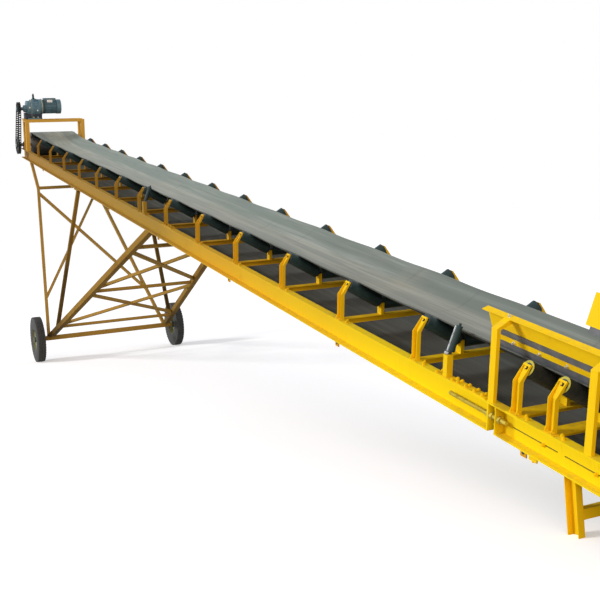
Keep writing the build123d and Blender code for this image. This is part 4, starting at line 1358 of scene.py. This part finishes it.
@dataclass
class Wheel:
    """One road wheel: a ribbed tyre with tread blocks, and its nuts and valve."""

    side_name: str
    centre: Vector
    finishes: Finishes
    radius: float = 410
    half_width: float = 75
    rim_radius: float = 203
    half_bead: float = 53
    half_tread: float = 58
    shoulder_drop: float = 14
    wall_steps: int = 10
    groove_depth: float = 9
    rib_count: int = 4
    crown: float = 5
    tyre_steps: int = 96
    block_count: int = 48
    block_size: Triple = (17, 30, 12)
    block_sink: float = 8.5
    nut_count: int = 6
    nut_circle: float = 82
    hub_face: float = 20
    valve_at: Triple = (168, 30, 0.4)

    @property
    def frame(self) -> Matrix:
        """Give the wheel's frame: z outwards along the axle, in metres."""
        out = Vector((0, SIDE_SIGNS[self.side_name], 0))
        x = Vector((1, 0, 0))
        axes = Matrix((x, out.cross(x), out)).transposed()
        return Matrix.Translation(self.centre) @ axes.to_4x4()

    def tyre_profile(self) -> list[Point]:
        """Give the tyre's section as radius and offset, round from bead to bead."""
        shoulder = self.radius - self.shoulder_drop
        outer: list[Point] = [
            (self.rim_radius + 2, self.half_bead - 6), (self.rim_radius + 3, self.half_bead + 3),
        ]
        middle = (0.72 * self.radius + self.rim_radius + 54) / 2
        half = (shoulder - self.rim_radius - 20) / 2
        for step in range(1, self.wall_steps):
            turn = math.radians(-90 + 180 * step / self.wall_steps)
            bulge = (self.half_width - self.half_bead) * math.cos(turn)
            outer.append((middle + half * math.sin(turn), self.half_bead + bulge))
        outer += [(shoulder, self.half_tread + 8), (self.radius - self.crown, self.half_tread)]
        tread: list[Point] = []
        for rib in range(self.rib_count - 1, 0, -1):
            at = self.half_tread * (2 * rib / self.rib_count - 1)
            top = self.radius - self.crown * (at / self.half_tread) ** 2
            deep = top - self.groove_depth
            tread += [(top, at + 4), (deep, at + 2.5), (deep, at - 2.5), (top, at - 4)]
        return outer + tread + [(radius, -offset) for radius, offset in reversed(outer)]

    def round_place(self, radius: float, offset: float, angle: float, outwards: bool) -> Place:
        """Give a place round the wheel.

        Args:
            radius: Distance from the axle.
            offset: Distance outwards along the axle.
            angle: Angle round the axle in radians.
            outwards: Whether it faces away from the vehicle rather than away from the axle.

        Returns:
            The place.
        """
        way = self.frame.to_3x3()
        radial = way @ Vector((math.cos(angle), math.sin(angle), 0))
        axle = way @ Vector((0, 0, 1))
        point = self.centre + radial * radius * MM + axle * offset * MM
        return Place(point, axle, radial) if outwards else Place(point, radial, axle)

    def build(self) -> None:
        """Build the tyre, its tread blocks, the wheel nuts and the valve."""
        side, body, finishes = self.side_name, f"{self.side_name}_wheel", self.finishes
        profile = self.tyre_profile()
        shape = Shape(self.frame).turned(profile + profile[:1], self.tyre_steps)
        tyre = shape.piece(f"{side}_tyre_carcass", finishes.tyre_rubber, body)
        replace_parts(tyre, f"{self.side_name}_tyre")
        treads = [
            self.round_place(
                self.radius - self.block_sink, row * self.half_tread,
                math.tau * (index + half_step) / self.block_count, False,
            )
            for index in range(self.block_count) for row, half_step in ((1, 0.0), (-1, 0.5))
        ]
        lug = (block("lug", self.block_size),)
        repeated(f"{side}_tyre_lugs", finishes.tyre_rubber, lug, treads, body)
        turns = [math.tau * (index + 0.5) / self.nut_count for index in range(self.nut_count)]
        nuts = [self.round_place(self.nut_circle, self.hub_face, turn, True) for turn in turns]
        repeated(f"{side}_wheel_nuts", finishes.zinc, hex_bolt(24, 14, 10), nuts, body)
        valve = disc("stem", 4, 0, 34, 10), disc("cap", 6, 24, 40, 10)
        spots = [self.round_place(*self.valve_at, True)]
        repeated(f"{side}_tyre_valve", finishes.zinc, valve, spots, body)


def plate_profile(radius: float, width: float) -> list[Point]:
    """Give the profile of a round plate."""
    return [(0, 0), (radius, 0), (radius, width), (0, width)]


@dataclass
class DriveGear:
    """The drive's fittings: fan guard, terminal box, blank plate, ribs, lifting eye and bolts."""

    deck: Deck
    finishes: Finishes
    middle_u: float = -1210
    axis_n: float = 880
    base_n: float = 666
    reducer_y: float = -620.7
    motor_axis_n: float = 916
    motor_y: float = -250.7
    motor_length: float = 400
    motor_band_ys: Point = (46, 306)
    box_y: float = 175
    box_half: Point = (58, 128)
    lid_rise: float = 167
    lid_wall: float = 10
    joint_y: float = 143
    joint_wall: float = 6
    eye_y: float = 215
    eye_n: float = 252
    eye_radii: Point = (48, 13)

    def frame(self, y: float, n: float) -> Matrix:
        """Give the drive's own frame at a place along an axis: z along it to the right."""
        ways = [self.deck.way(*way) for way in (ALONG, (0, 0, -1), (0, 1, 0))]
        axes = Matrix(ways).transposed()
        return Matrix.Translation(self.deck.at(self.middle_u, y, n)) @ axes.to_4x4()

    def spots(self, frame: Matrix, count: int, radius: float = 0, outwards: int = 1) -> list[Place]:
        """Give places round a frame's z axis.

        Args:
            frame: The frame.
            count: Number of places.
            radius: Distance from the axis.
            outwards: 1 to face along the axis and -1 to face back.

        Returns:
            The places.
        """
        way = frame.to_3x3()
        turns = [math.tau * index / count for index in range(count)]
        radials = [way @ Vector((math.cos(turn), math.sin(turn), 0)) for turn in turns]
        facing, middle = way @ Vector((0, 0, outwards)), frame.translation
        return [Place(middle + radial * radius * MM, facing, radial) for radial in radials]

    def slab(self, name: str, finish: Finish, *spans: Point, round_by: float) -> None:
        """Build a rounded block from its spans along u, y and n."""
        (u0, u1), (y0, y1), (n0, n1) = spans
        shape = Shape(self.deck.matrix)
        base = [(u0, y0, n0), (u1, y0, n0), (u1, y1, n0), (u0, y1, n0)]
        shape.prism(base, Vector((0, 0, n1 - n0)))
        shape.bevelled(round_by).piece(name, finish)

    def build(self) -> None:
        """Build the drive's fittings."""
        self.motor()
        self.reducer()

    def motor(self) -> None:
        """Build the motor's end shield, fan guard, terminal box lid, plate and bands."""
        finishes, u, y, n = self.finishes, self.middle_u, self.motor_y, self.motor_axis_n
        shield = [(0, 0), (166, 0), (166, 18), (150, 24), (0, 24)]
        Shape(self.frame(y - 8, n)).turned(shield).piece("motor_flange", finishes.pale_ring)
        end = self.frame(y + self.motor_length, n)
        bar = (block("bar", (100, 5, 5), (68, 0, 0)),)
        repeated("fan_guard_bars", finishes.dark_casting, bar, self.spots(end, 20))
        hub = disc("hub", 26, -1, 7, 24), disc("badge", 14, 7, 9, 20)
        repeated("fan_guard_hub", finishes.drive_paint, hub, self.spots(end, 1))
        for index, along in enumerate(self.motor_band_ys):
            band = Shape(self.frame(y + along, n)).turned(plate_profile(148, 12))
            band.piece(f"motor_band_{index + 1}", finishes.dark_casting)
        middle, low = y + self.box_y, n + self.lid_rise
        top = low + self.lid_wall
        half_u, half_y = self.box_half
        self.slab(
            "terminal_box_lid", finishes.dark_casting, (u - half_u, u + half_u),
            (middle - half_y, middle + half_y), (low, top), round_by=3,
        )
        screws = [
            self.deck.place(u + a * (half_u - 10), middle + b * (half_y - 12), top)
            for a in BOTH for b in (-1, 0, 1)
        ]
        screw = (disc("head", 5, 0, 4, 12),)
        repeated("terminal_box_screws", finishes.zinc, screw, screws)
        self.slab(
            "motor_blank_plate", finishes.blank_plate, (u + 57, u + 97),
            (middle - 62, middle + 50), (n + 92, n + 146), round_by=1,
        )

    def reducer(self) -> None:
        """Build the reducer's joint, ribs, foot, lifting eye, plugs and bolts."""
        finishes, u, y, n = self.finishes, self.middle_u, self.reducer_y, self.axis_n
        joint = y + self.joint_y
        behind = joint + self.joint_wall
        rib = (block("rib", (26, 6, 92), (157, 0, 74)),)
        repeated("reducer_ribs", finishes.drive_paint, rib, self.spots(self.frame(y + 175, n), 16))
        bolts = self.spots(self.frame(behind, n), 8, 174, -1)
        repeated("reducer_flange_bolts", finishes.dark_casting, hex_bolt(17, 10), bolts)
        ring = Shape(self.frame(joint, n)).turned(plate_profile(190, self.joint_wall))
        ring.piece("reducer_joint_ring", finishes.pale_ring)
        self.slab(
            "reducer_joint_plate", finishes.pale_ring, (u - 150, u + 150), (joint, behind),
            (self.base_n, n - 40), round_by=1,
        )
        self.slab(
            "reducer_foot_box", finishes.navy_casting, (u - 146, u + 146),
            (y + 22, self.motor_y - 12), (self.base_n, n - 92), round_by=12,
        )
        self.lifting_eye()
        plugs = [
            self.deck.place(u + 165, y + across, n + rise, ALONG)
            for across, rise in ((105, 30), (265, -30))
        ]
        repeated("reducer_oil_plugs", finishes.zinc, hex_bolt(24, 12), plugs)
        feet = [
            self.deck.place(u + a * 148, y + b, self.base_n + 25) for a in BOTH for b in (180, 270)
        ]
        repeated("reducer_foot_bolts", finishes.pale_ring, hex_bolt(30, 18, 14), feet)

    def lifting_eye(self) -> None:
        """Build the lifting eye, its boss and the rib behind it."""
        finishes, u, n = self.finishes, self.middle_u, self.axis_n
        eye_y = self.reducer_y + self.eye_y
        boss = disc("boss", 50, -20, 40, 24), disc("neck", 30, 40, 62, 20)
        spots = [self.deck.place(u, eye_y, n + 160)]
        repeated("reducer_eye_boss", finishes.drive_paint, boss, spots)
        wide, wire = self.eye_radii
        turns = [math.pi * step / 4 for step in range(8)]
        loop = [(wide + wire * math.cos(turn), wire * math.sin(turn)) for turn in turns]
        eye = Shape(self.frame(eye_y, n + self.eye_n)).turned(loop + loop[:1], 28)
        eye.piece("reducer_lifting_eye", finishes.dark_casting)
        near, far = eye_y + 30, self.motor_y - 4
        outline = ((near, 210), (far, 168), (far, 120), (near, 120))
        rib = Shape(self.deck.matrix)
        rib.prism([(u - 8, y, n + rise) for y, rise in outline], Vector((16, 0, 0)))
        rib.bevelled(3).piece("reducer_top_rib", finishes.drive_paint)


@dataclass
class DriveChain:
    """The roller chain: plates, pins and rollers along the line that its node follows.

    Each sprocket is given as its u, n and pitch radius.
    """

    deck: Deck
    finishes: Finishes
    y: float = -718.2
    driver: Triple = (-1210, 880, 121.28)
    driven: Triple = (-1500, 100, 177.87)
    pitch: float = 50.8
    eye_radius: float = 22.5
    waist: float = 33
    plate_wall: float = 6
    outer_at: float = 23
    inner_at: float = 16

    @staticmethod
    def rim(sprocket: Triple, turn: float) -> Point:
        """Give the u and n of a point on a sprocket's pitch circle."""
        u, n, radius = sprocket
        return u + radius * math.cos(turn), n + radius * math.sin(turn)

    def line(self) -> list[Point]:
        """Give each pin's u and n, round the loop."""
        (du, dn, dr), (bu, bn, br) = self.driver, self.driven
        span, tilt = math.hypot(du - bu, dn - bn), math.atan2(dn - bn, du - bu)
        lean = math.asin((br - dr) / span)
        straight = span * math.cos(lean)
        front, back = tilt - math.pi / 2 + lean, tilt + math.pi / 2 - lean
        legs = (
            (self.driver, self.driven, front, back, dr * (math.pi - 2 * lean)),
            (self.driven, self.driver, back, front, br * (math.pi + 2 * lean)),
        )
        total = 2 * straight + sum(leg[-1] for leg in legs)
        count = 2 * round(total / (2 * self.pitch))
        rows = []
        for index in range(count):
            travel = index * total / count
            for here, other, start, stop, arc in legs:
                if travel < arc:
                    rows.append(self.rim(here, start + travel / here[2]))
                    break
                travel -= arc
                if travel < straight:
                    ends = zip(self.rim(here, stop), self.rim(other, stop))
                    rows.append(tuple(a + (b - a) * travel / straight for a, b in ends))
                    break
                travel -= straight
        return rows

    def plates(self, offset: float) -> list[Element]:
        """Give both plates of a link.

        Args:
            offset: Distance of a plate's inner face from the chain's middle.

        Returns:
            The plates' solids.
        """
        parts = []
        for label, sign in (("near", 1), ("far", -1)):
            low, high = sorted((sign * offset, sign * (offset + self.plate_wall)))
            waist = (self.pitch, self.waist, high - low)
            parts += [
                disc(f"{label} eye", self.eye_radius, low, high, 14),
                disc(f"{label} end", self.eye_radius, low, high, 14, x=self.pitch),
                block(f"{label} waist", waist, (self.pitch / 2, 0, (low + high) / 2)),
            ]
        return parts

    def build(self) -> None:
        """Build the outer and inner plates, the rollers and the pins."""
        rows, steel = self.line(), self.finishes.chain_steel
        pins = [
            self.deck.place(u, self.y, n, (0, -1, 0), (after[0] - u, 0, after[1] - n))
            for (u, n), after in zip(rows, rows[1:] + rows[:1])
        ]
        repeated("chain_outer_plates", steel, self.plates(self.outer_at), pins[::2])
        repeated("chain_inner_plates", steel, self.plates(self.inner_at), pins[1::2])
        roller = disc("roller", 14, -15.5, 15.5, 16), disc("pin", 7, -32, 32, 12)
        piece = repeated("chain_rollers", steel, roller, pins)
        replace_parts(piece, "drive_chain")


@dataclass
class DeckFastenings:
    """Bolts, nuts and small plates along the deck, the skirts, the splice and the guides."""

    deck: Deck
    finishes: Finishes
    mid_y: float = 582.7
    inner_y: float = 546.2
    splice_u: float = 15345
    tail_start_u: float = 15440
    guide_us: Point = (7450, 14820)
    guide_tilt: float = math.radians(20)
    post_us: Triple = (15357, 16286, 17040)
    plate_us: Point = (8500, 15120)
    deck_post_u: float = 3460
    drum_us: Point = (-1500, 17190)
    flange_n: float = -200
    slot_n: float = -118
    skirt_foot: Point = (392, 342)
    skirt_lean: float = math.radians(18)
    clamp_start_u: float = 15340
    clamp_pitch: float = 262
    clamp_count: int = 8
    hanger_start_u: float = 15700
    hanger_pitch: float = 2550
    hanger_count: int = 7

    def board_place(self, side: int, u: float, rise: float, out: float, upwards: bool) -> Place:
        """Give a place on a skirt board.

        Args:
            side: -1 for the left side and 1 for the right.
            u: Place along the deck.
            rise: Height up the board from its foot.
            out: Distance off its outer face.
            upwards: Whether it faces up along the board rather than square off it.

        Returns:
            The place.
        """
        cos, sin = math.cos(self.skirt_lean), math.sin(self.skirt_lean)
        foot_y, foot_n = self.skirt_foot
        y, n = side * (foot_y + rise * sin + out * cos), foot_n + rise * cos - out * sin
        way = (0, side * sin, cos) if upwards else (0, side * cos, -sin)
        return self.deck.place(u, y, n, way, ALONG)

    def build(self) -> None:
        """Stand every fastening."""
        self.skirts()
        self.guides()
        self.splice()
        self.plates()
        self.hangers()

    def skirts(self) -> None:
        """Stand the clamp bars' bolts, and a bolt through the lip at each post."""
        us = [self.clamp_start_u + self.clamp_pitch * index for index in range(self.clamp_count)]
        spots = [self.board_place(side, u, 46, 24, False) for side in BOTH for u in us]
        spots += [self.board_place(side, u, 245, 27, True) for side in BOTH for u in self.post_us]
        repeated("skirt_bolts", self.finishes.zinc, hex_bolt(17, 9, 9), spots)

    def guides(self) -> None:
        """Stand a bright zinc rod beside the tail edge guide's roller, a painted highlight along
        it, and the nut at its foot.
        """
        way = (0, math.sin(self.guide_tilt), math.cos(self.guide_tilt))
        spot = self.deck.place(self.guide_us[-1] - 10, -self.inner_y - 46, 172, way, ALONG)
        # painted highlight: the bright rod stands in for the light along the guide roller's side
        rod = disc("rod", 8, 20, 205, 14), disc("nut", 17, -4, 14, 6)
        repeated("edge_guide_highlight_rod", self.finishes.guide_highlight_zinc, rod, [spot])

    def splice(self) -> None:
        """Stand the splice plates' nuts, the bolts in the web's slots, and dark strips behind the
        slots that stand in for the shade seen through them.
        """
        place, start = self.deck.place, self.tail_start_u
        ends = [
            place(u, side * (self.inner_y + 30), n, (-1, 0, 0))
            for u in (self.splice_u, start - 12) for side in BOTH for n in (-42, -150)
        ]
        repeated("splice_bolts", self.finishes.bolt_paint, hex_bolt(38, 24, 18), ends)
        # painted shade: a dark backing strip behind each slot in the web stands in for the shade
        # seen through it
        slot_shade_backs = [
            place(start + reach, side * (self.inner_y - 3), self.slot_n, (0, side, 0), ALONG)
            for side in BOTH for reach in (320, 755)
        ]
        strip = (block("strip", (490, 24, 3)),)
        repeated("web_slot_shade_backs", self.finishes.dark_casting, strip, slot_shade_backs)
        slots = [
            place(start + reach, side * (self.inner_y + 7), self.slot_n, (0, side, 0))
            for side in BOTH for reach in (410, 880)
        ]
        repeated("web_slot_bolts", self.finishes.deck_paint, hex_bolt(20, 12, 8), slots)

    def plates(self) -> None:
        """Stand the plates on the stringers' flanges, and the bearings' and guides' bolts."""
        place, paint = self.deck.place, self.finishes.idler_paint
        bolts = [
            place(u + a * 95, -self.mid_y + b * 24, 8)
            for u in self.guide_us for a in BOTH for b in BOTH
        ]
        bolts += [
            place(u + a * 60, side * self.mid_y, 20)
            for u in self.drum_us for side in BOTH for a in BOTH
        ]
        bolts += [
            place(u + reach, side * (self.mid_y + out), 10) for u in self.plate_us
            for side in BOTH for reach in (-140, -50, 50, 140) for out in (-17, 19)
        ]
        repeated("deck_plate_bolts", paint, hex_bolt(22, 11, 5), bolts)
        pads = [
            place(u, side * self.mid_y, 0, side=ALONG) for u in self.plate_us for side in BOTH
        ]
        repeated("deck_plates", paint, (block("pad", (370, 66, 10), (0, 0, 5)),), pads)
        heads = [
            place(self.deck_post_u, side * self.mid_y, self.flange_n, side=ALONG) for side in BOTH
        ]
        plate = (block("plate", (240, 96, 14), (0, 0, -7)),)
        repeated("deck_post_plates", self.finishes.leg_paint, plate, heads)

    def hangers(self) -> None:
        """Stand the return rollers' hanger bolts, and the clips beside the splice."""
        us = [self.hanger_start_u - self.hanger_pitch * index for index in range(self.hanger_count)]
        spots = [
            self.deck.place(u + a * 18, side * (self.mid_y + 4), self.flange_n - 11, (0, side, 0))
            for u in us for side in BOTH for a in BOTH
        ]
        repeated("return_hanger_bolts", self.finishes.gap_paint, hex_bolt(13, 7), spots)
        clips = [
            self.deck.place(15815, side * 600, self.flange_n, (0, 0, -1), ALONG) for side in BOTH
        ]
        clip = block("clip", (78, 10, 34), (0, 0, 17)), disc("bolt", 8, 34, 42, 6)
        repeated("flange_clips", self.finishes.deck_paint, clip, clips)


@dataclass
class Threads:
    """The take-up screws' threads: fine ridges along each rod."""

    deck: Deck
    finishes: Finishes
    y: float = 591.2
    n: float = -95
    start: float = 14886
    end: float = 15310
    pitch: float = 5

    def build(self) -> None:
        """Stand the ridges along both rods."""
        count = int((self.end - self.start) / self.pitch)
        us = [self.start + self.pitch * index for index in range(count)]
        spots = [
            self.deck.place(u, side * self.y, self.n, ALONG, (0, 1, 0))
            for u in us for side in BOTH
        ]
        ridge = (disc("ridge", 15.2, -1.2, 1.2, 18),)
        repeated("take_up_threads", self.finishes.screw_zinc, ridge, spots)


# --- camera, lights and floor ------------------------------------------------------------------


@dataclass(frozen=True)
class PhotoCamera:
    """The camera fitted to the photograph, in deck metres.

    Attributes:
        deck: The deck that the fit is given in.
        place: Where the camera stands.
        right: Its right-hand direction.
        down: Its downward direction.
        focal_px: Focal length in pixels.
        centre_px: Principal point in pixels.
    """

    deck: Deck
    place: Triple = (20.25816, -4.32506, 2.2561)
    right: Triple = (0.434024, 0.900834, 0.011017)
    down: Triple = (0.221933, -0.09506, -0.970417)
    focal_px: float = 977.4
    centre_px: Point = (307.18, 287.76)

    def build(self) -> None:
        """Make the camera and give it to the scene."""
        data = bpy.data.cameras.new("photo_camera")
        data.sensor_width = 36
        data.lens = self.focal_px / PHOTO_WIDTH_PX * data.sensor_width
        data.shift_x = (PHOTO_WIDTH_PX / 2 - self.centre_px[0]) / PHOTO_WIDTH_PX
        data.shift_y = (self.centre_px[1] - PHOTO_WIDTH_PX / 2) / PHOTO_WIDTH_PX
        data.clip_start, data.clip_end = 0.1, 500
        right, down = Vector(self.right), Vector(self.down)
        axes = Matrix((right, -down, -right.cross(down))).transposed()
        camera = bpy.data.objects.new("photo_camera", data)
        bpy.context.scene.collection.objects.link(camera)
        camera.matrix_world = self.deck.matrix @ Matrix.Translation(self.place) @ axes.to_4x4()
        bpy.context.scene.camera = camera


@dataclass(frozen=True)
class Studio:
    """Soft studio light on a white floor.

    Attributes:
        key_way: Direction from the object to the key light, in world axes.
        key_strength: Irradiance of the key light in watts for each square metre.
        key_spread: Angle that the key light fills, in degrees.
        fill_way: Direction from the object to the low, warm fill light.
        fill_strength: Irradiance of the fill light.
        fill_spread: Angle that the fill light fills, in degrees.
        fill_colour: Colour of the fill light.
        sky_colour: Colour of the world's even light.
        sky_strength: Strength of the world's even light.
        floor_reach: Half of the floor's side in metres.
        floor_colour: Colour of the floor as it is seen.
        bounce_colour: Colour of the floor as it lights the object from below.
        floor_glow: Light added to the floor as it is seen, which keeps its shadow soft.
    """

    key_way: Triple = (-0.3, -0.88, 0.5)
    key_strength: float = 1.95
    key_spread: float = 14
    fill_way: Triple = (0.85, -0.35, 0.22)
    fill_strength: float = 1.3
    fill_spread: float = 40
    fill_colour: str = "#FFDDB8"
    sky_colour: str = "#F3F6FF"
    sky_strength: float = 0.5
    floor_reach: float = 150.0
    floor_colour: str = "#F6F6F6"
    bounce_colour: str = "#A8A59C"
    floor_glow: float = 0.34

    def build(self) -> None:
        """Make the lights, the world and the floor."""
        self.sun("key_light", self.key_way, self.key_strength, self.key_spread, "#FFFFFF")
        self.sun(
            "fill_light", self.fill_way, self.fill_strength, self.fill_spread, self.fill_colour
        )
        self.world()
        self.floor()

    @staticmethod
    def sun(name: str, way: Triple, strength: float, spread: float, colour: str) -> None:
        """Make a sun lamp that shines from a direction, with its spread in degrees."""
        sun = bpy.data.lights.new(name, "SUN")
        sun.energy, sun.angle, sun.color = strength, math.radians(spread), linear(colour)[:3]
        lamp = bpy.data.objects.new(name, sun)
        lamp.rotation_mode = "QUATERNION"
        lamp.rotation_quaternion = Vector(way).to_track_quat("Z", "Y")
        bpy.context.scene.collection.objects.link(lamp)

    @staticmethod
    def seen_ray(tree: Tree) -> Socket:
        """Give 1 for camera, glossy and transmission rays, and 0 for the rest."""
        path = add_node(tree, "ShaderNodeLightPath").outputs
        first = maths(tree, "MAXIMUM", path["Is Camera Ray"], path["Is Glossy Ray"])
        return maths(tree, "MAXIMUM", first, path["Is Transmission Ray"])

    def world(self) -> None:
        """Make a world that looks white and lights evenly."""
        world = bpy.data.worlds.new("studio")
        world.use_nodes = True
        tree = world.node_tree
        tree.nodes.clear()
        seen = add_node(tree, "ShaderNodeBackground", Color=(1, 1, 1, 1), Strength=1.0)
        sky = linear(self.sky_colour)
        light = add_node(tree, "ShaderNodeBackground", Color=sky, Strength=self.sky_strength)
        mixed = add_node(
            tree, "ShaderNodeMixShader",
            _0=self.seen_ray(tree), _1=light.outputs[0], _2=seen.outputs[0],
        )
        add_node(tree, "ShaderNodeOutputWorld", _0=mixed.outputs[0])
        bpy.context.scene.world = world

    def floor(self) -> None:
        """Make a white floor that keeps the object's shadow."""
        mesh = bpy.data.meshes.new("floor")
        signs = ((-1, -1), (1, -1), (1, 1), (-1, 1))
        square = [(x * self.floor_reach, y * self.floor_reach, 0) for x, y in signs]
        mesh.from_pydata(square, [], [(0, 1, 2, 3)])
        floor = bpy.data.objects.new("floor", mesh)
        bpy.context.scene.collection.objects.link(floor)
        material = bpy.data.materials.new("white_floor")
        material.use_nodes = True
        tree = material.node_tree
        tree.nodes.clear()
        seen = self.seen_ray(tree)
        dull = add_node(tree, "ShaderNodeBsdfDiffuse", Color=linear(self.bounce_colour))
        white = add_node(tree, "ShaderNodeBsdfDiffuse", Color=linear(self.floor_colour))
        matt = add_node(
            tree, "ShaderNodeMixShader", _0=seen, _1=dull.outputs[0], _2=white.outputs[0]
        )
        strength = maths(tree, "MULTIPLY", seen, self.floor_glow)
        glow = add_node(tree, "ShaderNodeEmission", Color=(1, 1, 1, 1), Strength=strength)
        both = add_node(tree, "ShaderNodeAddShader", _0=matt.outputs[0], _1=glow.outputs[0])
        add_node(tree, "ShaderNodeOutputMaterial", _0=both.outputs[0])
        mesh.materials.append(material)
        floor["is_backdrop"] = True


def corners() -> list[list[float]]:
    """Give the shown object's lowest and highest corner as plain lists."""
    return [list(corner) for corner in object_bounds()]


def main() -> None:
    """Build the conveyor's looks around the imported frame."""
    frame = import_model()
    deck = Deck.from_tow_eye(frame["record"])
    bpy.context.scene.view_settings.view_transform = "Standard"
    PhotoCamera(deck).build()
    Studio().build()
    trough = Trough()
    finishes = Finishes(deck)
    for name, finish in finishes.node_finishes().items():
        materials = frame["nodes"][name].data.materials
        materials.clear()
        materials.append(finish.material())
    BeltStrand(deck, trough, finishes).build()
    IdlerSets(deck, trough, finishes).build()
    DriveGear(deck, finishes).build()
    DriveChain(deck, finishes).build()
    DeckFastenings(deck, finishes).build()
    Threads(deck, finishes).build()
    for joint in frame["joints"]:
        name = joint["child"].split("_")[0]
        Wheel(name, Vector(joint["pos_m"]), finishes).build()


if __name__ == "__main__":
    logging.basicConfig(level=logging.INFO, format="%(name)s %(message)s")
    main()
